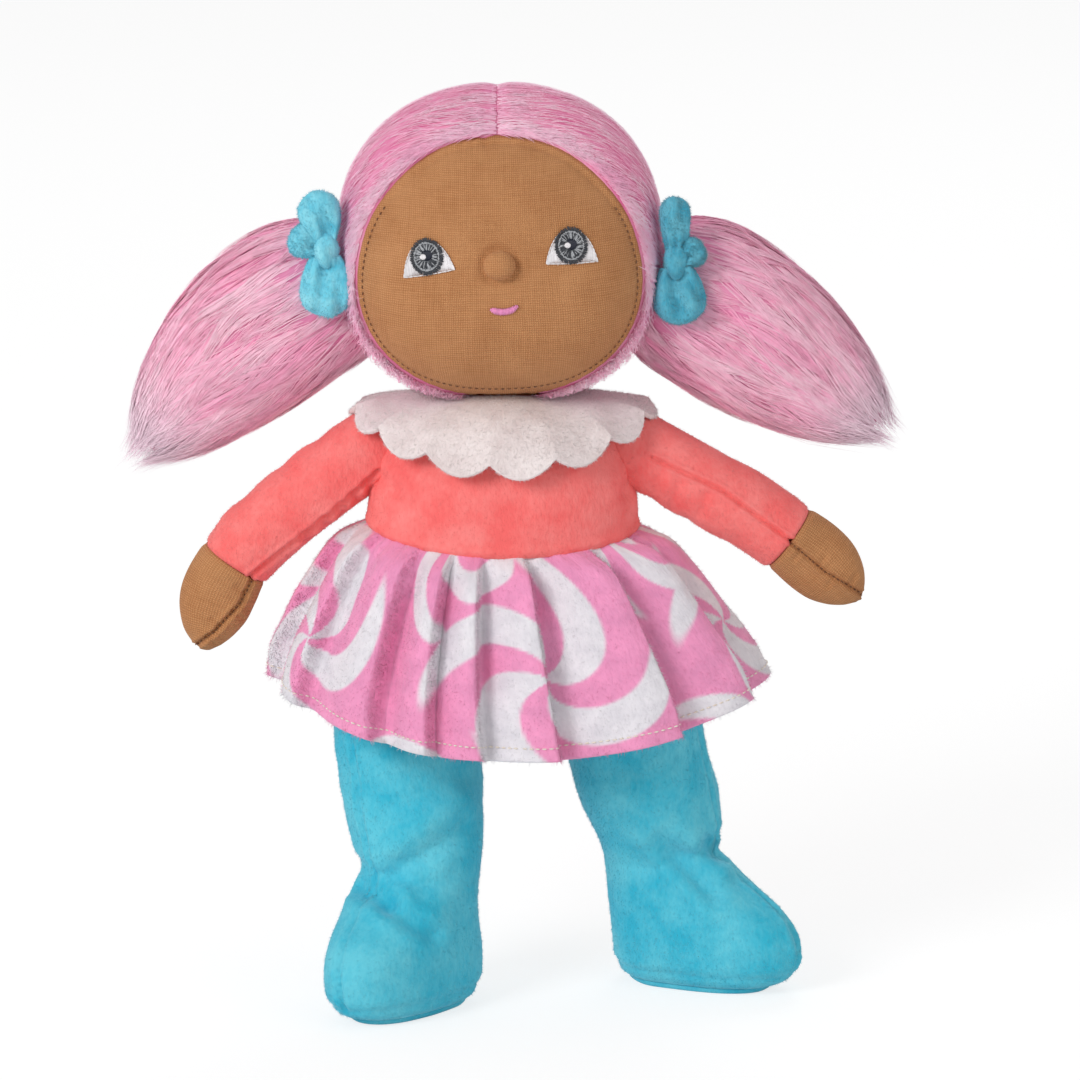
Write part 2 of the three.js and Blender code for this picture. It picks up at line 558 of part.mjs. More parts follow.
// Legs: a stuffed leg and boot in one skin, with an oval sole sewn in under it.
function footRing(middle, half, front, back, leg, power = 2) {
  const count = 22;
  const toe = new THREE.Vector3(leg.side * Math.sin(rad(leg.toeOut)), -Math.cos(rad(leg.toeOut)), 0);
  const across = new THREE.Vector3(-toe.y, toe.x, 0);
  return Array.from({ length: count }, (_, j) => {
    const turn = (j / count) * Math.PI * 2;
    const reach = Math.cos(turn) > 0 ? front : back;
    const ahead = Math.sign(Math.cos(turn)) * Math.abs(Math.cos(turn)) ** (2 / power) * reach;
    const out = Math.sign(Math.sin(turn)) * Math.abs(Math.sin(turn)) ** (2 / power) * half;
    return middle.clone().addScaledVector(toe, ahead).addScaledVector(across, out);
  });
}
legs.forEach((leg) => {
  const hip = hipPoint(leg);
  const axis = (z) => {
    const t = Math.min((legLength - z) / (legLength - ankleHeight), 1);
    const low = Math.min(Math.max((ankleHeight - z) / ankleHeight, 0), 1);
    const x = mix(mix(hip.x, leg.ankle[0], t), leg.foot[0], low);
    return new THREE.Vector3(x, mix(mix(hip.y, leg.ankle[1], t), leg.foot[1], low), z);
  };
  const base = soleThick + seamGap;
  const rise = ankleHeight - base;
  const feet = [
    [0, 0.86, 0.84, 0.92], [0.106, 0.95, 0.94, 0.98], [0.254, 1, 1, 1], [0.423, 1, 1, 1.01],
    [0.592, 1, 0.9, 1.01], [0.74, 1, 0.73, 1.01], [0.867, 1, 0.56, 1.01],
    [1, ankleHalf / footHalf, 0.445, 1.005],
  ];
  const rings = feet.map(([up, half, front, back]) => {
    const middle = axis(base + up * rise);
    return footRing(middle, footHalf * half, footFront * front, footBack * back, leg, 2.2);
  });
  const calf = [[0, hipBall], [0.2, legHalf * 0.97], [0.45, legHalf], [0.75, legHalf * 0.95], [1, ankleHalf]];
  [0.88, 0.72, 0.55, 0.38, 0.2, 0.08].forEach((t) => {
    const round = along(calf, t);
    const middle = axis(mix(legLength, ankleHeight, t));
    rings.push(footRing(middle, round, round, round, leg));
  });
  spread(5, 0, 78).forEach((turn) => {
    const middle = hip.clone().setZ(hip.z + hipBall * Math.sin(rad(turn)));
    const round = hipBall * Math.cos(rad(turn)) * 0.985;
    rings.push(footRing(middle, round, round, round, leg));
  });
  addPiece(`${leg.name}_leg`, skin(rings), colours.blue);
  const [, half, front, back] = feet[0];
  const soleRing = (z, less) => {
    const middle = axis(base).setZ(z);
    const wide = footHalf * half - less;
    return footRing(middle, wide, footFront * front - less, footBack * back - less, leg, 2.2);
  };
  const sole = skin([soleRing(0, soleInset), soleRing(soleThick, soleInset * 0.6)]);
  addPiece(`${leg.name}_sole`, sole, colours.blue);
});

// Pigtails: long-pile bunches that swing about the side of the head, each with a plush bow.
const tailShape = [
  [0, 0.5], [0.07, 0.76], [0.18, 0.95], [0.3, 1], [0.42, 1], [0.56, 0.93], [0.69, 0.8],
  [0.79, 0.66], [0.88, 0.47], [0.95, 0.27], [1, 0.12],
];
const tailSpots = [0, 0.08, 0.2, 0.36, 0.54, 0.7, 0.84, 0.94, 1];
const headOuter = inWorld(headForm(furThick + turnGap));
tails.forEach((tail) => {
  const root = new THREE.Vector3(tail.side * rootPlace.x, rootPlace.y, headMiddle.z + rootPlace.z);
  const way = new THREE.Vector3(tail.side * Math.cos(rad(tail.dip)), 0, -Math.sin(rad(tail.dip)));
  const near = root.clone().addScaledVector(way, -0.07 * tailLength);
  const tailCurve = new THREE.LineCurve3(near, root.clone().addScaledVector(way, tailLength));
  const bunch = (grow) => {
    const wide = tailSpots.map((t) => tailHalf * along(tailShape, t) + grow);
    return limb(tailCurve, tailSpots, wide, wide.map((w) => (w - grow) * tailFlat + grow), 20);
  };
  let clear = toSolid(headOuter);
  spread(5, -tailTravel, tailTravel).forEach((turn) => {
    clear = clear.add(toSolid(turned(headOuter, root, sideways, turn)));
  });
  addPiece(`${tail.name}_pigtail`, toGeometry(toSolid(bunch(0)).subtract(clear)), colours.fur, 1);
  const bow = bowSet[tail.name];
  const [out, forward, up] = bow.knot;
  const knotPoint = new THREE.Vector3(tail.side * out, forward, headMiddle.z + up);
  const knotForm = new THREE.SphereGeometry(1, 14, 8).scale(knotHalf.x, knotHalf.y, knotHalf.z);
  knotForm.translate(knotPoint.x, knotPoint.y, knotPoint.z);
  const knotRoom = new THREE.SphereGeometry(1, 14, 8);
  knotRoom.scale(knotHalf.x + seamGap, knotHalf.y + seamGap, knotHalf.z + seamGap);
  knotRoom.translate(knotPoint.x, knotPoint.y, knotPoint.z);
  let taken = clear.add(toSolid(bunch(seamGap)));
  addPiece(`${tail.name}_bow_knot`, toGeometry(toSolid(knotForm).subtract(taken)), colours.blue);
  taken = taken.add(toSolid(knotRoom));
  bow.loops.forEach((loop) => {
    const loopWay = new THREE.Vector3(tail.side * Math.cos(rad(loop.turn)), 0, Math.sin(rad(loop.turn)));
    const loopSpots = [0, 0.2, 0.45, 0.72, 0.9, 1];
    const loopShape = [
      [0, 0.45], [0.15, 0.62], [0.35, 0.86], [0.6, 1], [0.8, 0.94], [0.93, 0.66], [1, 0.3],
    ];
    const loopFoot = knotPoint.clone().addScaledVector(loopWay, knotGrip);
    const loopCurve = new THREE.LineCurve3(loopFoot, loopFoot.clone().addScaledVector(loopWay, loop.length));
    const pad = (grow) => {
      const wide = loopSpots.map((t) => loop.half * along(loopShape, t) + grow);
      const deep = loopSpots.map((t) => loop.thick * along(loopShape, t) + grow);
      return limb(loopCurve, loopSpots, wide, deep, 12);
    };
    addPiece(`${tail.name}_bow_${loop.name}_loop`, toGeometry(toSolid(pad(0)).subtract(taken)), colours.blue);
    taken = taken.add(toSolid(pad(seamGap)));
  });
});

// The doll stands on the floor with its outer box centred over the origin.
const box = new THREE.Box3().setFromObject(group);
const middle = box.getCenter(new THREE.Vector3());
group.children.forEach((mesh) => mesh.geometry.translate(-middle.x, -middle.y, -box.min.z));

export default group;
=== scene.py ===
import math

import bpy
import numpy as np
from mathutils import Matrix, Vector


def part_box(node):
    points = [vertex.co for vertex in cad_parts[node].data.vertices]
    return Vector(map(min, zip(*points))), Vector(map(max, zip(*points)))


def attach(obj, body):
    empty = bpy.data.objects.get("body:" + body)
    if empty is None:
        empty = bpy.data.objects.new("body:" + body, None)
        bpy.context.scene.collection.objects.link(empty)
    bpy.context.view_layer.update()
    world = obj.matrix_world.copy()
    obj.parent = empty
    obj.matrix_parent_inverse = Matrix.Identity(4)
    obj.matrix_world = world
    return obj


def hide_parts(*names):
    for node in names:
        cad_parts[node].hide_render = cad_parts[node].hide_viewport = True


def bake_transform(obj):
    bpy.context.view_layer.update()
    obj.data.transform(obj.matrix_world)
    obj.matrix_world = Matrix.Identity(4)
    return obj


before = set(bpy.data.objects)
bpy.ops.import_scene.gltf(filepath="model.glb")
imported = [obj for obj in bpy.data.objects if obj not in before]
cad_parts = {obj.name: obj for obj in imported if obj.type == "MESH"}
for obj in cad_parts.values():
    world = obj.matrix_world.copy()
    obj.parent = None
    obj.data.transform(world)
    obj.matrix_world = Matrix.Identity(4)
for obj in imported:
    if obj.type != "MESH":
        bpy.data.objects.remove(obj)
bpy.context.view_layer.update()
print("frame:", len(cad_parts), "nodes")

# Lengths are in millimetres on the pattern's own axes; toFrame moves them on to the frame, in metres.
nodPoint = np.array([0.0, 2, 242])  # middle of the neck's ball, about which the head nods
neckLow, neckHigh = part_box("neck")
shift = np.array([(neckLow.x + neckHigh.x) * 500, (neckLow.y + neckHigh.y) * 500 - nodPoint[1], 0])
sides = ((1, "left"), (-1, "right"))  # the doll's own left is towards +X
backWay = np.array([0, 1.0, 0])


def toFrame(points):
    return (np.asarray(points, float) + shift) * 0.001


def mix(a, b, t):
    return a + (b - a) * t


def soft(x, low, high):  # 0 below low, 1 above high, an S curve between
    t = np.clip((x - low) / (high - low), 0, 1)
    return t * t * (3 - 2 * t)


def hill(x, middle, half):  # a bell curve of height 1
    return np.exp(-(((x - middle) / half) ** 2))


def unit(v):
    return v / np.maximum(np.linalg.norm(v, axis=-1, keepdims=True), 1e-9)


def ringTurns(count):  # even steps round a ring, as one row
    return np.linspace(0, 2 * math.pi, count, endpoint=False)[None]


def around(turn, halfX, halfY, z):  # points of oval rings at their heights
    return np.stack(np.broadcast_arrays(np.cos(turn) * halfX, np.sin(turn) * halfY, z), -1)


# A smooth curve through stops: cubic pieces whose slopes come from each stop's two neighbours.
def through(stops, at):
    x, y = np.asarray(stops, float).T
    before = np.maximum(np.arange(len(x)) - 1, 0)
    after = np.minimum(np.arange(len(x)) + 1, len(x) - 1)
    slope = (y[after] - y[before]) / (x[after] - x[before])
    at = np.clip(at, x[0], x[-1])
    i = np.clip(np.searchsorted(x, at) - 1, 0, len(x) - 2)
    span = x[i + 1] - x[i]
    t = (at - x[i]) / span
    start = (2 * t**3 - 3 * t**2 + 1) * y[i] + (t**3 - 2 * t**2 + t) * span * slope[i]
    return start + (3 * t**2 - 2 * t**3) * y[i + 1] + (t**3 - t**2) * span * slope[i + 1]


# Cloudy noise from -1 to 1: repeatable numbers at whole-number corners, blended with S curves between.
# The large odd numbers scatter what neighbouring corners get; 32 bits are kept.
def cloudy(points, size, seed):
    p = np.asarray(points, float) / size
    cell = np.floor(p).astype(np.int64)
    f = p - cell
    f = f * f * (3 - 2 * f)
    bits = 0xFFFFFFFF
    total = 0
    for corner in range(8):
        step = np.array([corner & 1, corner >> 1 & 1, corner >> 2 & 1])
        c = cell + step
        h = (c[..., 0] * 374761393 + c[..., 1] * 668265263 + c[..., 2] * 1440662683 + seed * 974711) & bits
        h = ((h ^ (h >> 13)) * 1274126177) & bits
        value = ((h ^ (h >> 16)) & 0xFFFF) / 32767.5 - 1
        total = total + value * np.prod(np.where(step, f, 1 - f), axis=-1)
    return total


# Quads of a grid of rows by columns, closed round its columns or its rows where asked.
def gridQuads(rows, cols, loopCols=False, loopRows=False):
    r = np.arange(rows if loopRows else rows - 1)
    c = np.arange(cols if loopCols else cols - 1)
    a, b = np.meshgrid(r, c, indexing="ij")
    up, side = (a + 1) % rows, (b + 1) % cols
    return np.stack([a * cols + b, a * cols + side, up * cols + side, up * cols + b], -1).reshape(-1, 4)


# Normals of a grid: the cross product of its two central differences.
def gridNormals(grid, loopCols=False):
    down = np.gradient(grid, axis=0)
    if loopCols:
        across = (np.roll(grid, -1, 1) - np.roll(grid, 1, 1)) / 2
    else:
        across = np.gradient(grid, axis=1)
    return unit(np.cross(across, down))


def outwards(grid):  # normals of a ring-built grid, turned away from the middle of each ring
    normals = gridNormals(grid, True)
    return normals * np.sign(np.sum(normals * (grid - grid.mean(1, keepdims=True)), -1).mean())


# Fans that shut both ends of a tube of rings, round the two points numbered first and last.
def endFans(rows, cols, first, last):
    j = np.arange(cols)
    k = (j + 1) % cols
    low = np.stack([np.full(cols, first), k, j], 1)
    high = np.stack([np.full(cols, last), (rows - 1) * cols + j, (rows - 1) * cols + k], 1)
    return np.concatenate([low, high])


# A grid of closed rings, with a point in the middle of each end ring to shut it.
def closedTube(grid):
    rows, cols = grid.shape[:2]
    ends = np.stack([grid[0].mean(0), grid[-1].mean(0)])
    points = np.concatenate([grid.reshape(-1, 3), ends])
    fans = endFans(rows, cols, rows * cols, rows * cols + 1)
    return points, [gridQuads(rows, cols, loopCols=True), fans]


# Steps from one end to the other, with one more step close to each end, so that a wall there can't
# bend the shading of the cloth beside it.
def heldEnds(start, end, count):
    line = np.linspace(start, end, count)
    step = (line[1] - line[0]) * 0.02
    return np.concatenate([[start, start + step], line[1:-1], [end - step, end]])


# Rows of a sewn sheet: down the outside, round the edge and up the inside. For each row, its share of the
# way down, which goes a little over 1 at the edge, and its share of the way through the cloth.
def sheetRows(down, margin, over):
    bend = np.linspace(margin, math.pi - margin, 6)
    fall = np.concatenate([down, 1 + over * np.sin(bend), down[::-1]])
    inside = np.concatenate([np.zeros(len(down)), 0.5 - 0.5 * np.cos(bend), np.ones(len(down))])
    return fall[:, None], inside[:, None]


# A sheet whose rows run down the outside, round the edge and up the inside; two walls shut its sides.
def closedSheet(grid):
    rows, cols = grid.shape[:2]
    i = np.arange(rows // 2 - 1)
    strip = np.stack([i, i + 1, rows - 2 - i, rows - 1 - i], 1) * cols
    walls = np.concatenate([strip, strip[:, ::-1] + cols - 1])
    return grid.reshape(-1, 3), [np.concatenate([walls, gridQuads(rows, cols, loopRows=True)])]


# Six times the volume that the faces hold, with its sign: below 0 where they are inside out.
def signedVolume(points, faces):
    total = 0.0
    for part in faces:
        a = points[part[:, 0]]
        for k in range(1, part.shape[1] - 1):
            total += np.einsum("ij,ij->", a, np.cross(points[part[:, k]], points[part[:, k + 1]]))
    return total


def placed(name, data):  # a new object at the origin, in the scene
    made = bpy.data.objects.new(name, data)
    bpy.context.scene.collection.objects.link(made)
    return made


def makePiece(name, points, faces, material, uv=None, tint=None, smooth=True):
    points = toFrame(points)
    if signedVolume(points - points.mean(0), faces) < 0:
        faces = [part[:, ::-1] for part in faces]
    mesh = bpy.data.meshes.new(name)
    mesh.vertices.add(len(points))
    mesh.vertices.foreach_set("co", points.astype(np.float32).ravel())
    corners = np.concatenate([part.ravel() for part in faces]).astype(np.int32)
    sizes = np.concatenate([np.full(len(part), part.shape[1]) for part in faces])
    starts = np.concatenate([[0], np.cumsum(sizes)[:-1]])
    mesh.loops.add(len(corners))
    mesh.loops.foreach_set("vertex_index", corners)
    mesh.polygons.add(len(sizes))
    mesh.polygons.foreach_set("loop_start", starts.astype(np.int32))
    mesh.polygons.foreach_set("use_smooth", np.full(len(sizes), smooth))
    if uv is not None:
        layer = mesh.uv_layers.new(name="clothMap")
        layer.uv.foreach_set("vector", np.asarray(uv, np.float32)[corners].ravel())
    if tint is not None:
        colours = np.concatenate([np.asarray(tint), np.ones((len(points), 1))], 1)
        layer = mesh.color_attributes.new("clothTint", "FLOAT_COLOR", "POINT")
        layer.data.foreach_set("color", colours.astype(np.float32).ravel())
    mesh.update(calc_edges=True)
    mesh.validate()
    mesh.materials.append(material)
    return placed(name, mesh)


def settle(piece, body, nodes=()):
    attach(piece, body)
    if nodes:
        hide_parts(*nodes)
    return piece


# Rings carried along paths: corners at the given turns, on a side axis and on a flatter one that faces up.
def ringsOnPaths(paths, up, wide, turns, height):
    way = unit(np.gradient(paths, axis=1))
    side = unit(np.cross(way, up if up.ndim == 3 else up[:, None]))
    high = np.cross(side, way) * height
    out = np.cos(turns)[:, None] * side[:, :, None] + np.sin(turns)[:, None] * high[:, :, None]
    return paths[:, :, None] + wide[:, :, None] * out


def repeated(part, count, per):  # the faces of one strand, for each strand of a piece
    return (part + np.arange(count)[:, None, None] * per).reshape(-1, part.shape[1])


# Tapered hairs: low three-sided rings carried along each path with the ridge up, narrowing to one point.
def hairs(name, paths, up, thick, colours, material, height, smooth=True):
    count, steps = paths.shape[:2]
    s = np.linspace(0, 1, steps)[None, :, None]
    wide = np.asarray(thick).reshape(-1, 1, 1) / 2 * (1 - 0.75 * s**1.5)
    k = np.arange(3)
    rings = ringsOnPaths(paths, up, wide, k * 2 * math.pi / 3 + math.pi / 2, height)[:, :-1]
    points = np.concatenate([rings.reshape(count, -1, 3), paths[:, -1:]], 1)
    per = points.shape[1]
    last = 3 * (steps - 2)
    tip = np.stack([last + k, last + (k + 1) % 3, np.full(3, per - 1)], 1)
    ends = np.concatenate([tip, [[2, 1, 0]]])
    faces = [repeated(part, count, per) for part in (gridQuads(steps - 1, 3, loopCols=True), ends)]
    tint = np.concatenate([np.repeat(colours[:, :-1], 3, axis=1), colours[:, -1:]], 1)
    return makePiece(name, points.reshape(-1, 3), faces, material, tint=tint.reshape(-1, 3), smooth=smooth)


# Threads: six-sided tubes carried along paths, thinner at both ends, with a side that faces up.
def threads(name, paths, up, thick, material, tint=None):
    count, steps = paths.shape[:2]
    s = np.linspace(0, 1, steps)[None, :, None]
    girth = thick / 2 * (0.4 + 0.6 * np.sqrt(4 * s * (1 - s)))
    rings = ringsOnPaths(paths, up, girth, np.arange(6) * 2 * math.pi / 6, 0.8)
    points = np.concatenate([rings.reshape(count, -1, 3), paths[:, :1], paths[:, -1:]], 1)
    per = points.shape[1]
    shell = gridQuads(steps, 6, loopCols=True), endFans(steps, 6, per - 2, per - 1)
    faces = [repeated(part, count, per) for part in shell]
    colours = None if tint is None else np.repeat(tint, per, axis=0)
    return makePiece(name, points.reshape(-1, 3), faces, material, tint=colours)


# Stitches: threads from one point to another, bowed up in the middle.
def stitches(name, start, end, up, thick, bow, material):
    s = np.linspace(0, 1, 5)[None, :, None]
    paths = start[:, None] + (end - start)[:, None] * s + up[:, None] * bow * 4 * s * (1 - s)
    return threads(name, paths, up, thick, material)


def runAlong(line):  # the way along a line at each of its points
    return np.concatenate([[0], np.cumsum(np.linalg.norm(np.diff(line, axis=0), axis=1))])


def pickAt(at, run, values):  # values that go with a line's points, at any way along it
    return np.stack([np.interp(at, run, column) for column in values.T], 1)


def paint(r, g, b):  # a colour as read from a screen, 0 to 255, made linear
    c = np.array([r, g, b]) / 255
    return np.where(c <= 0.04045, c / 12.92, ((c + 0.055) / 1.055) ** 2.4)


def rgba(colour):
    return (*[float(c) for c in colour], 1.0)


def patchy(spots, deep, pale, size, seed):  # two tones in cloudy patches
    return mix(deep, pale, np.clip(0.5 + 0.6 * cloudy(spots, size, seed), 0, 1)[:, None])


# Camera at the photograph's angle, plain floor, soft studio light. A lamp has its place, width and power.
shot = {"elevation": 12, "distance": 2.5, "target": (0.0108, 0.0, 0.176), "width": 0.4104, "sensor": 36}
studio = {
    "world": 0.47, "floorGlow": 0.62, "paper": 1.2, "reach": 9.0, "aim": (0, 0, 0.18),
    "lamps": {
        "keyLamp": ((-1.9, -2.2, 1.6), 1.3, 48),
        "fillLamp": ((2.1, -1.9, 1.0), 1.6, 8.5),
        "backLamp": ((0.5, 2.0, 2.3), 1.4, 12),
    },
}
tilt = math.radians(shot["elevation"])
viewWay = np.array([0, -math.cos(tilt), math.sin(tilt)])


def frontView(points):  # millimetres across and up the front view
    return np.stack([points[..., 0], points[..., 1] * math.sin(tilt) + points[..., 2] * math.cos(tilt)], -1)


def placeCamera():
    data = bpy.data.cameras.new("photoCamera")
    data.sensor_width = shot["sensor"]
    data.lens = shot["sensor"] * shot["distance"] / shot["width"]
    data.clip_end = 60
    camera = placed("photoCamera", data)
    x, y, z = shot["target"]
    camera.location = (x, y - shot["distance"] * math.cos(tilt), z + shot["distance"] * math.sin(tilt))
    camera.rotation_euler = (math.pi / 2 - tilt, 0, 0)
    bpy.context.scene.camera = camera


def addLamp(name, spot, size, power):
    data = bpy.data.lights.new(name, "AREA")
    data.shape = "DISK"
    data.size = size
    data.energy = power
    lamp = placed(name, data)
    lamp.location = spot
    lamp.rotation_euler = (Vector(studio["aim"]) - Vector(spot)).to_track_quat("-Z", "Y").to_euler()


def node(tree, kind, inputs=None, **settings):
    made = tree.nodes.new("ShaderNode" + kind)
    for key, value in settings.items():
        setattr(made, key, value)
    for key, value in (inputs or {}).items():
        if isinstance(value, bpy.types.NodeSocket):
            tree.links.new(value, made.inputs[key])
        else:
            made.inputs[key].default_value = value
    return made


def calc(tree, operation, *values):
    return node(tree, "Math", dict(enumerate(values)), operation=operation).outputs[0]


def between(tree, value, low, high, toLow=0.0, toHigh=1.0):  # low to high made toLow to toHigh
    span = {"From Min": low, "From Max": high, "To Min": toLow, "To Max": toHigh}
    return node(tree, "MapRange", {"Value": value, **span}).outputs[0]


def noise(tree, place, scale, detail=2.0, roughness=0.5):
    look = {"Scale": scale, "Detail": detail, "Roughness": roughness}
    return node(tree, "TexNoise", {"Vector": place, **look}).outputs[0]


def stretched(tree, place, scale):
    return node(tree, "Mapping", {"Vector": place, "Scale": scale}).outputs[0]


def vectorCalc(tree, operation, inputs):
    return node(tree, "VectorMath", inputs, operation=operation).outputs[0]


def blended(tree, share, first, second, kind="MIX"):
    return node(tree, "Mix", {0: share, 6: first, 7: second}, data_type="RGBA", blend_type=kind).outputs[2]


def ownTint(tree):
    return node(tree, "Attribute", attribute_name="clothTint").outputs["Color"]


def seenDirectly(tree):  # 1 for what the camera, a gloss or a clear part looks at
    path = node(tree, "LightPath").outputs
    both = calc(tree, "MAXIMUM", path["Is Camera Ray"], path["Is Glossy Ray"])
    return calc(tree, "MAXIMUM", both, path["Is Transmission Ray"])


def buildFloor():
    reach = studio["reach"]
    mesh = bpy.data.meshes.new("floor")
    corners = [(-reach, -reach, 0), (reach, -reach, 0), (reach, reach, 0), (-reach, reach, 0)]
    mesh.from_pydata(corners, [], [(0, 1, 2, 3)])
    floor = placed("floor", mesh)
    paper = bpy.data.materials.new("studioPaper")
    paper.use_nodes = True
    tree = paper.node_tree
    lit = tree.nodes["Principled BSDF"]
    lit.inputs["Base Color"].default_value = (0.9, 0.9, 0.9, 1)
    lit.inputs["Roughness"].default_value = 0.9
    glow = node(tree, "Emission", {"Color": (1, 1, 1, 1), "Strength": studio["paper"]})
    share = calc(tree, "MULTIPLY", seenDirectly(tree), studio["floorGlow"])
    blend = node(tree, "MixShader", {0: share, 1: lit.outputs[0], 2: glow.outputs[0]})
    tree.links.new(blend.outputs[0], tree.nodes["Material Output"].inputs["Surface"])
    mesh.materials.append(paper)


def buildStudio():
    world = bpy.data.worlds.new("studio")
    bpy.context.scene.world = world
    world.use_nodes = True
    tree = world.node_tree
    sky = tree.nodes["Background"]
    sky.inputs["Color"].default_value = (1, 1, 1, 1)
    level = between(tree, seenDirectly(tree), 0.0, 1.0, studio["world"], 1.0)
    tree.links.new(level, sky.inputs["Strength"])
    for name, lamp in studio["lamps"].items():
        addLamp(name, *lamp)
    buildFloor()
    bpy.context.scene.view_settings.view_transform = "Standard"


placeCamera()
buildStudio()
print("studio ready")


def clothBase(name, roughness, sheen, sheenRough, tint, shine=0.25):
    material = bpy.data.materials.new(name)
    material.use_nodes = True
    tree = material.node_tree
    base = tree.nodes["Principled BSDF"]
    base.inputs["Roughness"].default_value = roughness
    base.inputs["Specular IOR Level"].default_value = shine
    base.inputs["Sheen Weight"].default_value = sheen
    base.inputs["Sheen Roughness"].default_value = sheenRough
    base.inputs["Sheen Tint"].default_value = rgba(tint)
    return material, tree, base


def dress(tree, base, colour, height=None, strength=0.0, distance=0.0):  # colour and bump on to the shader
    tree.links.new(colour, base.inputs["Base Color"])
    if height is not None:
        rough = node(tree, "Bump", {"Height": height, "Strength": strength, "Distance": distance})
        tree.links.new(rough.outputs[0], base.inputs["Normal"])


# Short pile: patches where the nap lies one way or the other, fine strokes along it, a grainy bump.
# Patch, stroke and grain are sizes in millimetres; combed below 1 draws all out along the second way.
def pileCloth(
    name, deep, pale, patch, stroke=1.6, sheen=0.5, mapped=False, tinted=False, bump=0.5, combed=1
):
    material, tree, base = clothBase(name, 0.88, sheen, 0.45, mix(pale, np.ones(3), 0.35))
    grain = 0.9
    place = node(tree, "TexCoord").outputs["UV" if mapped else "Object"]
    if combed < 1:
        place = stretched(tree, place, (1, combed, 1))
    drawn = stretched(tree, place, (1, 0.45, 1) if mapped else (1, 1, 0.5))
    patches = noise(tree, place, 1000 / patch, 3.0, 0.55)
    strokes = noise(tree, drawn, 1000 / stroke)
    both = calc(tree, "MULTIPLY_ADD", strokes, 0.24, calc(tree, "MULTIPLY", patches, 0.76))
    colour = blended(tree, between(tree, both, 0.36, 0.64), rgba(deep), rgba(pale))
    if tinted:
        colour = blended(tree, 1.0, ownTint(tree), colour, "MULTIPLY")
    height = calc(tree, "MULTIPLY_ADD", noise(tree, drawn, 1000 / grain), 0.6, strokes)
    dress(tree, base, colour, height, bump, 0.0007)
    return material


# Hairs and pile take the tint that each carries, with small changes of tone.
def hairCloth(name, roughness, sheen=0.0, shine=0.2):
    material, tree, base = clothBase(name, roughness, sheen, 0.4, np.ones(3), shine)
    fleck = noise(tree, node(tree, "TexCoord").outputs["Object"], 260.0)
    tone = between(tree, fleck, 0.3, 0.7, 0.92, 1.05)
    dress(tree, base, vectorCalc(tree, "SCALE", {0: ownTint(tree), "Scale": tone}))
    return material


# Plain weave: two sets of waves across each other that wander a little, with slubs where a thread is
# thicker. The pitch is in millimetres.
def wovenCloth(name, deep, pale, pitch=0.8):
    material, tree, base = clothBase(name, 0.86, 0.18, 0.5, mix(pale, np.ones(3), 0.3), 0.2)
    place = node(tree, "TexCoord").outputs["UV"]
    wander = node(tree, "TexNoise", {"Vector": place, "Scale": 160.0, "Detail": 2.0}).outputs[1]
    moved = vectorCalc(tree, "SCALE", {0: wander, "Scale": 0.0011})
    thread = vectorCalc(tree, "ADD", {0: place, 1: moved})
    bands = 0.314 / (pitch * 0.001)  # the wave node makes one wave in each 0.314 at scale 1
    warp, weft = (
        node(tree, "TexWave", {"Vector": thread, "Scale": bands * scale}, bands_direction=way).outputs["Fac"]
        for way, scale in (("X", 1.0), ("Y", 0.93))
    )
    over = calc(tree, "MULTIPLY", warp, weft)
    raised = calc(tree, "MULTIPLY_ADD", calc(tree, "ADD", warp, weft), 0.5, over)
    slubs = [noise(tree, stretched(tree, place, ways), 1.0) for ways in ((90, 900, 1), (900, 90, 1))]
    slub = between(tree, calc(tree, "ADD", *slubs), 0.0, 2.0, 0.72, 1.28)
    tone = calc(tree, "MULTIPLY_ADD", raised, 0.3, slub)
    tone = calc(tree, "MULTIPLY_ADD", noise(tree, place, 55.0, 3.0), 0.5, tone)
    colour = blended(tree, between(tree, tone, 1.17, 1.8), rgba(deep), rgba(pale))
    dress(tree, base, colour, calc(tree, "MULTIPLY_ADD", slub, 0.8, raised), 0.55, 0.0003)
    return material


# Sewing thread: a slightly shiny twist with small changes of tone.
def threadCloth(name, deep, pale):
    material, tree, base = clothBase(name, 0.5, 0.2, 0.4, np.ones(3), 0.4)
    tone = noise(tree, node(tree, "TexCoord").outputs["Object"], 1400.0)
    colour = blended(tree, between(tree, tone, 0.3, 0.7), rgba(deep), rgba(pale))
    dress(tree, base, colour, tone, 0.3, 0.0002)
    return material


linenMat = wovenCloth("brownLinen", paint(168, 110, 67), paint(210, 152, 104))
coralMat = pileCloth("coralVelour", paint(250, 110, 108), paint(255, 138, 134), 14, 1.4, 0.35)
blueMat = pileCloth("bluePlush", paint(52, 186, 214), paint(104, 208, 227), 18, 1.5, 0.6, bump=0.35)
collarMat = pileCloth("whitePlush", paint(226, 211, 210), paint(246, 236, 235), 14, sheen=0.3, mapped=True)
skirtMat = pileCloth(
    "printPlush", paint(236, 236, 238), paint(255, 255, 255), 9, sheen=0.4, mapped=True, tinted=True
)
# The backing is a deep pink so that it shows as painted shade in the gaps between the hairs.
furShadeCoreMat = pileCloth(
    "furBackingShade", paint(222, 108, 156), paint(244, 168, 200), 4, 1.1, 0.0, mapped=True, combed=0.1
)
furMat = hairCloth("pinkFur", 0.6, shine=0.06)
napMat = hairCloth("pileFibre", 0.8, sheen=0.3, shine=0.1)
# The doll's left bow has a darker copy of the same plush, painted as in shade.
bowMat = {
    -1: pileCloth("bowPlush", paint(92, 198, 223), paint(146, 222, 237), 8, 1.4, 0.5),
    1: pileCloth("bowPlushPaintedShade", paint(64, 162, 190), paint(110, 190, 210), 8, 1.4, 0.35),
}
coverMat = pileCloth("plainCover", paint(214, 190, 165), paint(236, 220, 200), 12, sheen=0.2)
embroideryMat = hairCloth("embroideryThread", 0.45, shine=0.4)
brownThread = threadCloth("brownThread", paint(96, 58, 34), paint(134, 88, 54))
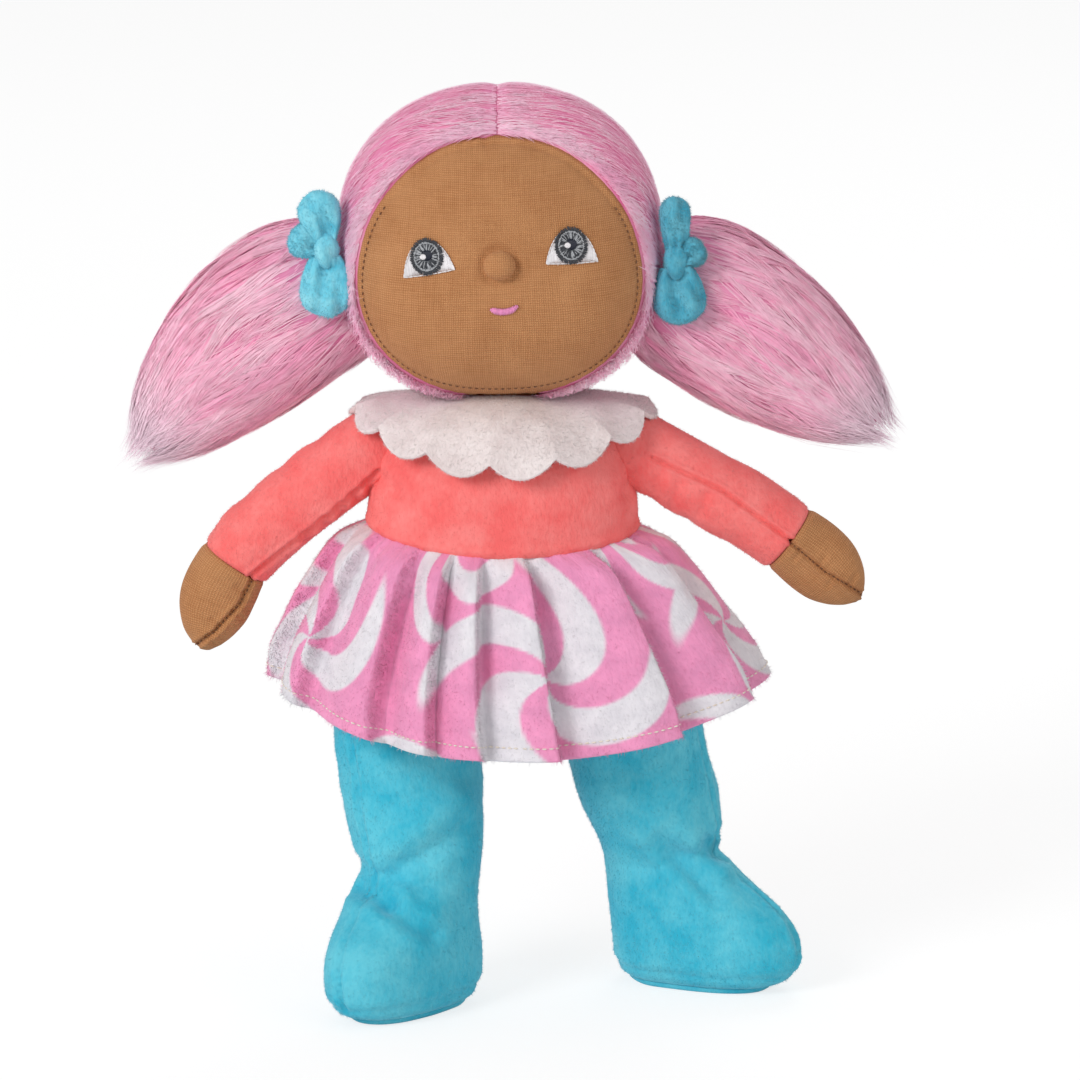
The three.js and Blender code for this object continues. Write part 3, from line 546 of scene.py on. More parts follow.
creamThread = threadCloth("creamThread", paint(226, 212, 196), paint(246, 238, 226))
print("materials ready")


# Random places on a grid surface, spread evenly by area or by area times a weight:
# (points, normals, fractional rows, fractional columns).
def scatter(grid, normals, count, seed, loopCols=True, weight=None):
    draw = np.random.default_rng(seed)
    rows, cols = grid.shape[:2]
    quads = gridQuads(rows, cols, loopCols)
    flat = grid.reshape(-1, 3)
    a, b, c, d = (flat[quads[:, k]] for k in range(4))
    size = np.linalg.norm(np.cross(c - a, d - b), axis=1)
    if weight is not None:
        size = size * weight.reshape(-1)[quads[:, 0]]
    q = quads[np.searchsorted(np.cumsum(size) / size.sum(), draw.random(count))]
    down, across = draw.random(count), draw.random(count)
    share = np.stack([(1 - down) * (1 - across), (1 - down) * across, down * across, down * (1 - across)], 1)
    points = np.einsum("ij,ijk->ik", share, flat[q])
    out = unit(np.einsum("ij,ijk->ik", share, normals.reshape(-1, 3)[q]))
    return points, out, q[:, 0] // cols + down, q[:, 0] % cols + across


# Pile: short closed spikes that stand out of a cloth, leaning with its nap.
def pile(name, roots, normals, lean, length, thick, colours, seed, rough=0.5):
    draw = np.random.default_rng(seed)
    way = unit(normals + lean + rough * draw.normal(size=roots.shape))
    reach = length * draw.uniform(0.55, 1.15, len(roots))
    foot = roots - 0.15 * normals
    paths = np.stack([foot, roots + way * reach[:, None]], 1)
    tone = draw.uniform(0.88, 1.1, (len(roots), 1, 1))
    shades = np.stack([colours * 0.9, np.minimum(colours * 1.05, 1)], 1) * tone
    across = unit(np.cross(way, draw.normal(size=roots.shape)))
    girth = np.full(len(roots), thick)
    return hairs(name, paths, across, girth, np.minimum(shades, 1), napMat, height=1.0)


# A coat of pile over a grid's cloth, by the cloth's nap: its length, thickness, lean, colour and roughness.
# There may be a lean for each row instead, and two tones with the size and seed of their patches.
def coat(name, grid, normals, count, seeds, nap, tones=None, rowLean=None, **spread):
    roots, out, row, _ = scatter(grid, normals, count, seeds[0], **spread)
    if rowLean is None:
        lean = np.array(nap["lean"])
    else:
        lean = rowLean[np.minimum(row.astype(int), len(rowLean) - 1)]
    colours = np.tile(nap["colour"], (count, 1)) if tones is None else patchy(roots, *tones)
    rough = nap.get("rough", 0.5)
    return pile(name + "Pile", roots, out, lean, nap["length"], nap["thick"], colours, seeds[1], rough)


# Creases drawn in the front view as paths with a depth and a width: the cloth sinks along each line by a
# bell curve of its distance and swells a little on both sides of it.
def creased(grid, normals, lines):
    flat = frontView(grid)
    facing = soft(normals @ viewWay, -0.05, 0.35)
    move = np.zeros(grid.shape[:-1])
    for path, depth, width in lines:
        near = np.full(move.shape, 1e9)
        for a, b in zip(np.array(path[:-1], float), np.array(path[1:], float)):
            t = np.clip(((flat - a) @ (b - a)) / max((b - a) @ (b - a), 1e-6), 0, 1)
            near = np.minimum(near, np.linalg.norm(flat - a - t[..., None] * (b - a), axis=-1))
        move += depth * (0.35 * hill(near, 2.1 * width, 0.9 * width) - hill(near, 0, width))
    return grid + normals * (facing * move)[..., None]


# Stitches along a path drawn in the front view, laid on the part of a grid that faces the camera: each
# end goes to the weighted middle of the four grid points that look nearest.
def seamStitches(name, grid, normals, path, seam, material):
    near = normals @ viewWay > 0.15
    flat, points, outs = frontView(grid)[near], grid[near], normals[near]
    path = np.array(path, float)
    run = runAlong(path)
    at = np.arange(0.6, run[-1] - seam["pitch"], seam["pitch"])

    def lay(where):
        away = np.linalg.norm(flat[None] - pickAt(where, run, path)[:, None], axis=2)
        close = np.argsort(away, axis=1)[:, :4]
        weight = 1 / (np.take_along_axis(away, close, 1) + 0.05)
        weight = (weight / weight.sum(1, keepdims=True))[..., None]
        return (points[close] * weight).sum(1), unit((outs[close] * weight).sum(1))

    (a, up), (b, _) = lay(at), lay(at + seam["pitch"] * seam["share"])
    lift = up * seam["lift"]
    return stitches(name, a + lift, b + lift, up, seam["thick"], seam["bow"], material)


# Head: a rounded box that leans, with the face's seam as a slanted cut through it. Reach is about how far
# its surface is from its middle, which turns angles into lengths.
head = {
    "middle": (-1, 0, 291), "half": (60, 50, 58), "roll": 1, "pitch": 10, "square": (2.45, 2.2), "reach": 50,
    "seam": 29.4, "lean": 13.8, "cornerTuck": 0.035, "chinTuck": 0.2, "socket": 15.6, "opening": 16,
    "gap": 0.2, "rows": (62, 22), "columns": 260, "mapReach": 0.053, "stitchInset": 3.6, "stitchReach": 51,
    "stitchPitch": 2.45, "stitchLength": 1.35, "stitchThick": 0.54, "stitchBow": 0.2,
}
nose = {"place": (0.1, -9.7), "half": (5.9, 4.9, 5.5), "out": 1.2}
headMiddle = np.array(head["middle"], float)


def turnX(degrees):
    c, s = math.cos(math.radians(degrees)), math.sin(math.radians(degrees))
    return np.array([[1, 0, 0], [0, c, -s], [0, s, c]])


def turnY(degrees):
    c, s = math.cos(math.radians(degrees)), math.sin(math.radians(degrees))
    return np.array([[c, 0, s], [0, 1, 0], [-s, 0, c]])


headTurn = turnY(-head["roll"]) @ turnX(-head["pitch"])
faceWay = np.array([0, -1.0, 0]) @ headTurn.T


def headOut(local):  # from the head's own axes to the pattern's
    return local @ headTurn.T + headMiddle


def headIn(points):
    return (points - headMiddle) @ headTurn


def headPower(way):  # squarer below than above
    return mix(*head["square"], soft(way[..., 2], -0.4, 0.4))


# Reach of the head in a direction: the powers of its shares of the three half sizes add up to 1.
def headReach(way, grow):
    power = headPower(way)[..., None]
    half = np.array(head["half"]) + np.asarray(grow)[..., None]
    return np.sum((np.abs(way) / half) ** power, axis=-1) ** (-1 / power[..., 0])


def onHead(way, grow):
    return way * headReach(way, grow)[..., None]


# The head is cut away over the neck: nothing lower than a dome and a flat cone above the nodding point.
def clearNeck(points):
    out = points.copy()
    away = np.hypot(points[..., 0] - nodPoint[0], points[..., 1] - nodPoint[1])
    ball = head["socket"]
    cone = nodPoint[2] - np.tan(math.radians(head["opening"])) * away
    dome = nodPoint[2] + np.sqrt(np.maximum(ball**2 - away**2, 0))
    out[..., 2] = np.maximum(points[..., 2], np.where(away < ball, dome, cone) + head["gap"])
    return out


seamLean = math.radians(head["lean"])
seamNormal = np.array([0, -math.cos(seamLean), -math.sin(seamLean)])
seamUp = np.array([0, -math.sin(seamLean), math.cos(seamLean)])
seamDepth = head["seam"] * math.cos(seamLean)


# A direction from the head's middle: alpha off the face's middle, and psi round it from the doll's left.
def headWay(alpha, psi):
    flat = np.cos(psi)[..., None] * np.array([1.0, 0, 0]) + np.sin(psi)[..., None] * seamUp
    return np.cos(alpha)[..., None] * seamNormal + np.sin(alpha)[..., None] * flat


# Angle of the face's seam round the face, found by halving; drawn in a little at the upper corners.
def seamAngle(psi):
    low, high = np.zeros_like(psi), np.full_like(psi, math.pi / 2)
    for _ in range(40):
        middle = (low + high) / 2
        way = headWay(middle, psi)
        ahead = headReach(way, np.zeros(psi.shape)) * (way @ seamNormal) > seamDepth
        low, high = np.where(ahead, middle, low), np.where(ahead, high, middle)
    degrees = np.degrees(psi) % 360
    corner = hill(degrees, 42, 26) + hill(degrees, 138, 26)
    return low * (1 - head["cornerTuck"] * corner)


def hemAngle(psi):  # where the cloth ends: the seam, tucked further back under the chin
    return seamAngle(psi) * (1 + head["chinTuck"] * hill(np.degrees(psi) % 360, 270, 24))


# Face: linen over the head's front. It is rolled in at the hem and puffed up behind that, dimpled along the
# topstitch, puckered between the stitches, swollen by cloudy noise, with a dart at the top and a sink
# round the nose.
def buildFace():
    psi = np.linspace(0, 2 * math.pi, head["columns"], endpoint=False)
    hem = hemAngle(psi)
    inner, outer = head["rows"]
    rho = np.concatenate([np.linspace(0.012, 0.9, inner), np.linspace(0.905, 1.0, outer)])
    alpha = rho[:, None] * hem[None]
    psiGrid = np.broadcast_to(psi, alpha.shape)
    way = headWay(alpha, psiGrid)
    inset = (1 - rho)[:, None] * hem[None] * head["reach"]
    fromLine = (seamAngle(psi)[None] - alpha) * head["reach"] - head["stitchInset"]
    roll = -0.3 * np.exp(-inset / 1.3) - 0.35 * hill(fromLine, 0, 1.1)
    puff = 0.35 * hill(inset, 1.9, 0.9)
    hemRun = np.cumsum(np.full(len(psi), hem.mean() * head["reach"] * math.sin(1) * 2 * math.pi / len(psi)))
    pucker = 0.12 * np.sin(hemRun * 2 * math.pi / (2 * head["stitchPitch"]))[None] * hill(inset, 3.0, 2.4)
    spot = way * head["reach"]
    swell = (0.22 * cloudy(spot, 17, 3) + 0.05 * cloudy(spot, 6, 4)) * soft(inset, 0, 6)
    dart = -0.8 * hill(np.degrees(psiGrid) % 360, 96, 1.6) * soft(inset, 9, 1)
    front = onHead(way, np.zeros(alpha.shape))
    away = np.hypot(front[..., 0] - nose["place"][0], front[..., 2] - nose["place"][1])
    local = onHead(way, roll + puff + pucker + swell + dart - 0.7 * hill(away, 6.6, 1.3))
    flat = np.stack([alpha * np.cos(psiGrid), alpha * np.sin(psiGrid)], -1) * head["mapReach"]
    points, faces = closedTube(clearNeck(headOut(local)))
    uv = np.concatenate([flat.reshape(-1, 2), np.zeros((2, 2))])
    face = makePiece("facePanel", points, faces, linenMat, uv=uv)
    settle(face, "head", ("face_panel", "head_stuffing"))


# The face's surface behind a point of its front view, in the head's own axes, found by repeating: the
# direction gives the power, and the power gives the depth.
def faceAt(x, z, lift=0.0):
    x, z = np.broadcast_arrays(np.asarray(x, float), np.asarray(z, float))
    y = np.full(x.shape, -45.0)
    half = np.array(head["half"]) + lift
    for _ in range(30):
        power = headPower(unit(np.stack([x, y, z], -1)))
        left = np.maximum(1 - (np.abs(x) / half[0]) ** power - (np.abs(z) / half[2]) ** power, 1e-6)
        y = -half[1] * left ** (1 / power)
    return np.stack([x, y, z], -1)


# The cross product of two small steps over the face.
def faceNormal(x, z):
    d = 0.2
    a = faceAt(x + d, z) - faceAt(x - d, z)
    b = faceAt(x, z + d) - faceAt(x, z - d)
    return unit(np.cross(a, b))


def buildTopstitch():  # all round but for the top, where the fur hides it
    fine = np.linspace(-math.radians(207), math.radians(27), 4000)
    way = headWay(seamAngle(fine) - head["stitchInset"] / head["stitchReach"], fine)
    line = onHead(way, np.full(len(fine), -0.1))
    run = runAlong(line)
    starts = np.arange(int(run[-1] // head["stitchPitch"])) * head["stitchPitch"]
    ends = starts + head["stitchLength"]
    up = unit(pickAt(starts, run, way)) @ headTurn.T
    a, b = (headOut(pickAt(at, run, line)) for at in (starts, ends))
    sewn = stitches("faceTopstitch", a, b, up, head["stitchThick"], head["stitchBow"], brownThread)
    settle(sewn, "head")


# Nose: a ball of the same linen, gathered at the back in nine folds and set a little into the face.
def buildNose():
    turn = ringTurns(72)
    lat = np.linspace(-math.pi / 2 + 0.05, math.pi / 2 - 0.05, 44)[:, None]
    ring = np.cos(lat) * (1 - 0.05 * soft(lat, -0.2, -0.9) * (1 + np.cos(turn * 9)))
    ball = around(turn, ring, ring, -np.sin(lat))[..., [0, 2, 1]]
    local = faceAt(*nose["place"], nose["out"]) + ball * np.array(nose["half"])
    flat = local[..., [0, 2]].reshape(-1, 2)
    uv = np.concatenate([flat, [nose["place"], nose["place"]]]) * 0.001
    piece = makePiece("nose", *closedTube(headOut(local)), linenMat, uv=uv)
    settle(piece, "head", ("nose",))


# Eyes: satin stitches for the white, rings of radial stitches for the iris, a pupil with a highlight.
# Each layer has its height over the face. A ring has its count of stitches, its inner and outer share of the
# iris, their roughness, its height and how much of it is charcoal.
eye = {
    "out": 26.7, "raise": -4.6, "step": 1.6, "half": (9.7, 6.3), "iris": (6.0, 6.8), "irisUp": 0.3,
    "pupil": 2.05, "pupilAt": (0.1, 0.4), "glint": 1.1, "glintAt": (-1.35, 0.1), "turn": {1: 2, -1: 8},
    "thread": 0.44, "bow": 0.16, "pitch": 0.36, "discPitch": 0.27,
    "lift": {"white": 0.45, "rim": 0.62, "ground": 0.78, "pupil": 1.2, "glint": 1.42},
    "rings": [
        (112, 0.79, 1.03, 0.025, 0.98, 1), (84, 0.7, 0.8, 0.02, 1.02, 0), (96, 0.34, 0.7, 0.05, 1.06, 0.64),
    ],
    "white": paint(240, 236, 238), "charcoal": paint(52, 54, 60), "silver": paint(172, 174, 178),
    "grey": paint(104, 107, 112), "navy": paint(18, 22, 40),
}


def eyeThreads(side, starts, ends, lift):  # threads over the face between points of the eye's own drawing
    angle = math.radians(eye["turn"][side])
    s = np.linspace(0, 1, 6)[None, :, None]
    flat = starts[:, None] + (ends - starts)[:, None] * s
    x = side * eye["out"] + flat[..., 0] * math.cos(angle) - flat[..., 1] * math.sin(angle)
    z = eye["raise"] + side * eye["step"] + flat[..., 0] * math.sin(angle) + flat[..., 1] * math.cos(angle)
    return headOut(faceAt(x, z, lift) + faceNormal(x, z) * (eye["bow"] * 4 * s * (1 - s)))


def buildEye(side, word):
    draw = np.random.default_rng(300 + side)
    middle, size = np.array([0, eye["irisUp"]]), np.array(eye["iris"])
    lift = eye["lift"]
    paths, tints = [], []

    def sew(starts, ends, height, colours, spread=0.1):
        tone = draw.uniform(1 - spread, 1 + spread * 0.5, (len(starts), 1))
        paths.append(eyeThreads(side, starts, ends, height))
        tints.append(np.clip(colours * tone, 0, 1))

    # The white: upright stitches between two curves of three points each, with threads along its edges.
    def sewWhite():
        wide, tall = eye["half"]
        low = -0.98 * tall
        across = np.arange(-wide + 0.15, wide - 0.1, eye["pitch"])
        t = np.linspace(0, 1, 200)
        lidX = 2 * t * (1 - t) * 0.72 * wide + (1 - t) ** 2 * wide
        lidZ = (1 - t) ** 2 * low + 2 * t * (1 - t) * 0.96 * tall + t**2 * tall
        top = np.interp(np.abs(across), lidX[::-1], lidZ[::-1])
        s = (across / wide + 1) / 2
        bottom = ((1 - s) ** 2 + s**2) * low + 2 * s * (1 - s) * (-1.1 * tall)
        jag = draw.normal(0, 0.12, (2, len(across)))
        feet, heads = np.stack([across, bottom + jag[0]], 1), np.stack([across * 0.98, top + jag[1]], 1)
        sew(feet, heads, lift["white"], eye["white"], 0.14)
        edges = [np.stack([sign * lidX[::16], lidZ[::16]], 1) * 0.985 for sign in (-1, 1)]
        for edge in (*edges, np.stack([across[::5], bottom[::5] + 0.2], 1)):
            sew(edge[:-1], edge[1:], lift["rim"], eye["white"], 0.05)

    def sewGround():  # level stitches across the iris
        rows = np.arange(-0.86, 0.87, 0.058)
        reach = np.sqrt(0.86**2 + 0.01 - rows**2)
        starts, ends = (middle + np.stack([sign * reach, rows], 1) * size for sign in (-1, 1))
        sew(starts, ends, lift["ground"], eye["grey"], 0.12)

    def sewRing(count, inner, outer, rough, height, dark):
        angle = np.linspace(0, 2 * math.pi, count, endpoint=False) + draw.normal(0, 0.02, count)
        ways = np.stack([np.cos(angle), np.sin(angle)], 1)
        a = inner + draw.normal(0, rough, (count, 1))
        b = outer + draw.normal(0, rough, (count, 1))
        lean = 0.05 * np.stack([-ways[:, 1], ways[:, 0]], 1)
        pick = draw.random((count, 1)) < dark if 0 < dark < 1 else np.full((count, 1), dark == 1)
        shades = np.where(pick, eye["charcoal"], eye["silver"])
        sew(middle + ways * a * size, middle + (ways * b + lean) * size, height, shades)

    def sewDisc(spot, radius, height, colour):
        rows = np.arange(-radius + 0.12, radius, eye["discPitch"])
        reach = np.sqrt(np.maximum(radius**2 - rows**2, 0.02))
        starts, ends = (middle + np.array(spot) + np.stack([rows, sign * reach], 1) for sign in (-1, 1))
        sew(starts, ends, height, np.tile(colour, (len(rows), 1)), 0.05)

    sewWhite()
    sewGround()
    for ring in eye["rings"]:
        sewRing(*ring)
    sewDisc(eye["pupilAt"], eye["pupil"], lift["pupil"], eye["navy"])
    sewDisc(eye["glintAt"], eye["glint"], lift["glint"], eye["white"])
    paths, tints = np.concatenate(paths), np.concatenate(tints)
    up = np.tile(faceWay, (len(paths), 1))
    piece = threads(word + "Eye", paths, up, eye["thread"], embroideryMat, tint=tints)
    settle(piece, "head", (word + "_eye_white", word + "_iris", word + "_pupil"))


# Mouth: satin stitches across a shallow smile whose end on the doll's left turns up.
mouth = {
    "place": (1.6, -26.2), "half": 5.0, "thick": 2.5, "pitch": 0.52, "thread": 0.6, "lift": 0.45, "bow": 0.5,
    "pink": paint(240, 152, 202),
}


def buildMouth():
    draw = np.random.default_rng(310)
    x = np.arange(-mouth["half"], mouth["half"] + 0.01, mouth["pitch"])[:, None]
    s = x / mouth["half"]
    z = 1.3 * s**2 + 0.35 * s + 0.4 * soft(s, 0.55, 1.0) - 0.6
    tall = mouth["thick"] / 2 * np.sqrt(np.clip(1.12 - s**4, 0.15, 1))
    steps = np.linspace(-1, 1, 7)[None]
    px = mouth["place"][0] + x - 0.25 * s * tall * steps
    pz = mouth["place"][1] + z + tall * steps
    bow = (mouth["bow"] * (1 - steps**2))[..., None]
    paths = headOut(faceAt(px, pz, mouth["lift"]) + faceNormal(px, pz) * bow)
    tint = np.clip(mouth["pink"] * draw.uniform(0.82, 1.08, (len(x), 1)), 0, 1)
    up = np.tile(faceWay, (len(x), 1))
    piece = threads("mouth", paths, up, mouth["thread"], embroideryMat, tint=tint)
    settle(piece, "head", ("mouth",))


buildFace()
buildTopstitch()
buildNose()
for side, word in sides:
    buildEye(side, word)
buildMouth()
print("face sewn")

# Fur of the head: a backing in two halves and laid hairs that run from the parting to the bunches.
fur = {
    "backing": 1.1, "backingThick": 2.6, "sunk": 0.3, "part": (0.9, 1.8), "capColumns": 84, "capRows": 70,
    "tries": 60000, "hemHairs": 2600, "partTries": 14000, "partHairs": 2200, "capHairs": 9200, "capSteps": 4,
    "capLength": (9, 17), "capThick": 0.42, "capHeight": 0.2,
    # The cap's hairs take a tint for each side: both are made pinker, and the doll's left is painted lighter
    # as side light.
    "capToneAndSideLight": {1: (1.04, 1.2, 1.16), -1: (0.98, 1.12, 1.09)},
    # deep stands for the shade at the hairs' roots and in the gaps between them: it is painted shade.
    "deep": paint(246, 116, 172), "mid": paint(255, 180, 210), "pale": paint(255, 210, 226),
    "tip": paint(246, 230, 240),
}
bunchRoot = {side: np.array([58.0 * side, 6, 278]) for side, _ in sides}


def capSurface(way, grow):  # the head with a furrow along the parting
    deep, half = fur["part"]
    return onHead(way, grow - deep * hill(onHead(way, grow)[..., 0], 0, half))


def halfRound(side, count):  # from one middle line of the doll to the other, round one of its sides
    turn = heldEnds(-math.pi / 2, math.pi / 2, count)
    return turn if side > 0 else math.pi - turn


# One half of the cap's backing: from the hem to the back of the head, with cloudy hills.
def buildCap(side, word):
    psi = halfRound(side, fur["capColumns"])
    hem = hemAngle(psi)
    t = np.linspace(0, 1, fur["capRows"]) ** 1.15
    alpha = mix(hem[None] - 0.012, math.pi - 0.02, t[:, None])
    psiGrid = np.broadcast_to(psi, alpha.shape)
    way = headWay(alpha, psiGrid)
    rise = soft((alpha - hem) * head["reach"], -0.6, 1.0)
    grow = mix(0.1, fur["backing"], rise) + 0.3 * rise * cloudy(way * head["reach"], 9, 11)
    outer = clearNeck(headOut(capSurface(way, grow)))
    inner = headOut(capSurface(way, grow - fur["backingThick"]))
    points, faces = closedSheet(np.concatenate([outer, inner[::-1]]))
    flat = np.stack([alpha, psiGrid], -1) * head["reach"] * 0.001
    uv = np.concatenate([flat, flat[::-1]]).reshape(-1, 2)
    name = "cap" + word.capitalize()
    cap = makePiece(name + "Backing", points, faces, furShadeCoreMat, uv=uv)
    settle(cap, "head", ("hair_cap_" + word,))
    layCap(side, name, psi[0], psi[-1])


# Roots of the cap's hairs: some along the hem, some along the parting and the rest all over, as directions
# from the head's middle, with the angle of each behind the hem.
def capRoots(side, draw, psiStart, psiEnd):
    ways = unit(draw.normal(size=(fur["tries"], 3)))
    hemPsi = psiStart + (psiEnd - psiStart) * draw.random(fur["hemHairs"])
    hemWays = headWay(hemAngle(hemPsi) + 0.07 * draw.random(fur["hemHairs"]) ** 1.4 - 0.008, hemPsi)
    partWays = ways[: fur["partTries"]] * np.array([0.035, 1, 1])
    partWays = partWays[(partWays[:, 2] > -0.3) | (partWays[:, 1] > 0.2)][: fur["partHairs"]]
    ways = unit(np.concatenate([hemWays, partWays, ways]))
    ways[:, 0] = np.abs(ways[:, 0]) * side
    psi = np.arctan2(ways @ seamUp, ways[:, 0])
    behind = np.arccos(np.clip(ways @ seamNormal, -1, 1)) - hemAngle(psi)
    start = capSurface(ways, np.full(len(ways), fur["backing"] - fur["sunk"]))
    world = headOut(start)
    low = np.linalg.norm(clearNeck(world) - world, axis=1) > 0.05
    keep = np.flatnonzero((behind > -0.01) & ~low)[: fur["capHairs"]]
    return start[keep], ways[keep], behind[keep] * head["reach"]


# Each hair is combed towards the bunch, sideways off the parting and down below the ears; at the hem it
# also leans over the face's edge. It follows the head at a small height that rises and sinks.
def layCap(side, name, psiStart, psiEnd):
    draw = np.random.default_rng(40 + side)
    p, way, behind = capRoots(side, draw, psiStart, psiEnd)
    root = headIn(bunchRoot[side])
    under = soft(p[:, 2], -6, -30)[:, None]
    offPart = hill(p[:, 0], 0, 16)[:, None] * soft(p[:, 2], 10, 40)[:, None]
    pull = mix(unit(root - p), np.array([0.12 * side, 0.25, -1.0]), under)
    comb = unit(pull + 0.8 * np.array([side, 0.0, 0.0]) * offPart)
    sway = np.stack([cloudy(p, 11, seed) for seed in (21, 22, 23)], -1)
    cover = mix(0.2, 0.55, soft(p[:, 2], 20, -10)) * np.exp(-behind / 2.0)
    loose = mix(0.1, 0.55, under) * draw.normal(size=p.shape)
    comb = comb + 0.22 * sway + loose + seamNormal * cover[:, None]
    comb = unit(comb - np.sum(comb * way, 1, keepdims=True) * way)
    length = draw.uniform(*fur["capLength"], len(p)) * mix(1, 0.5, under[:, 0])
    length = length * mix(0.55, 1, soft(behind, 0, 6))
    length = np.minimum(length, np.linalg.norm(root - p, axis=1) * 0.8 + 4)
    s = np.linspace(0, 1, fur["capSteps"])
    flat = unit(p[:, None] + comb[:, None] * (s[None, :, None] * length[:, None, None]))
    lift = draw.uniform(0.25, 1.2, len(p)) * mix(1, 2.4, under[:, 0])
    grow = fur["backing"] - fur["sunk"] + lift[:, None] * np.sin(s * 2.4)[None]
    paths = clearNeck(headOut(onHead(flat, grow)))
    fanned = np.arctan2(p[:, 2] - root[2], p[:, 1] - root[1]) * 45
    strand = np.stack([fanned, p[:, 0] * 0.12, 0 * fanned], -1)
    streak = 0.6 * cloudy(strand, 2.6, 31) + 0.4 * cloudy(p, 13, 32)
    tone = np.clip(0.55 + 0.75 * streak + 0.16 * draw.normal(size=len(p)), 0, 1)[:, None, None]
    # Painted shade: each hair takes the deep pink towards its root, for the shade among the hairs.
    fade = np.linspace(1, 0, len(s))[None, :, None] ** 1.5
    colours = mix(mix(fur["mid"], fur["pale"], tone), fur["deep"], 0.25 * fade * (1 - 0.5 * tone))
    # A tint for each side, with painted side light on the doll's left.
    colours = colours * np.array(fur["capToneAndSideLight"][side])
    thick = draw.uniform(0.7, 1.25, len(p)) * fur["capThick"]
    up = unit(paths - headMiddle)
    laid = hairs(name + "Fur", paths, up, thick, colours, furMat, fur["capHeight"], smooth=False)
    settle(laid, "head")


for side, word in sides:
    buildCap(side, word)
print("hair laid")

# Bunches: a full core of fur, and locks of long hair that follow its lengthwise lines to a wispy tip.
bunch = {
    "length": 107, "half": 32, "flat": 0.72, "back": 0.07, "dip": {1: 35, -1: 41}, "arch": {1: 1.5, -1: 5.5},
    "coreRows": 80, "coreColumns": 100, "coreEnd": 0.95, "locks": 270, "tipLocks": 54, "hairs": 6300,
    "steps": 6, "thick": 0.58, "height": 0.17, "span": (0.28, 0.54), "lockHalf": 2.6, "wave": 2.0,
    # The bunch on the doll's left is painted a little darker than the right, as shade.
    "drift": 0.16, "tone": {1: 0.97, -1: 1.0},
    "shape": [
        (0, .62), (.07, .86), (.18, 1), (.3, 1.02), (.42, 1), (.56, .93),
        (.69, .8), (.79, .66), (.88, .47), (.95, .27), (1, .12),
    ],
}


def bunchAxes(side):  # the bunch's root end, its way along and its way across, upwards on the doll's left
    dip = math.radians(bunch["dip"][side])
    way = np.array([side * math.cos(dip), 0, -math.sin(dip)])
    across = np.array([-way[2], 0, way[0]])
    return bunchRoot[side] - bunch["back"] * bunch["length"] * way, way, across


# A point at a share t along the bunch, turned round its axis, at a share of the outline: an oval that
# swells from the root and narrows to the tip, on an axis that arches up between its ends.
def bunchPoint(side, t, turn, share):
    start, way, across = bunchAxes(side)
    wide = bunch["half"] * through(bunch["shape"], t) * share
    middle = start + np.asarray(t)[..., None] * (1 + bunch["back"]) * bunch["length"] * way
    middle = middle + (side * bunch["arch"][side] * np.sin(math.pi * np.minimum(t, 1)))[..., None] * across
    deep = (np.sin(turn) * wide * bunch["flat"])[..., None] * backWay
    return middle + (np.cos(turn) * wide)[..., None] * across + deep


# The core: rings inside the bunch's outline, with cloudy dents, drawn in towards the tip.
def buildBunch(side, word):
    name, body = "bunch" + word.capitalize(), word + "_bunch"
    t = np.linspace(0.0, bunch["coreEnd"], bunch["coreRows"])[:, None]
    turn = ringTurns(bunch["coreColumns"])
    spot = around(turn, 34, 34, t * 45)
    share = 0.945 - 0.07 * soft(t, 0.5, 0.8) - 0.4 * soft(t, 0.75, 0.95)
    share = share + 0.02 * cloudy(spot, 7, 61 + side) + 0.01 * cloudy(spot, 3, 63)
    grid = bunchPoint(side, np.broadcast_to(t, share.shape), np.broadcast_to(turn, share.shape), share)
    flat = np.stack(np.broadcast_arrays(turn * bunch["half"], t * bunch["length"]), -1) * 0.001
    uv = np.concatenate([flat.reshape(-1, 2), flat[[0, -1], [0, -1]]])
    core = makePiece(name + "Core", *closedTube(grid), furShadeCoreMat, uv=uv)
    settle(core, body, (word + "_pigtail",))
    settle(layBunch(side, name), body)
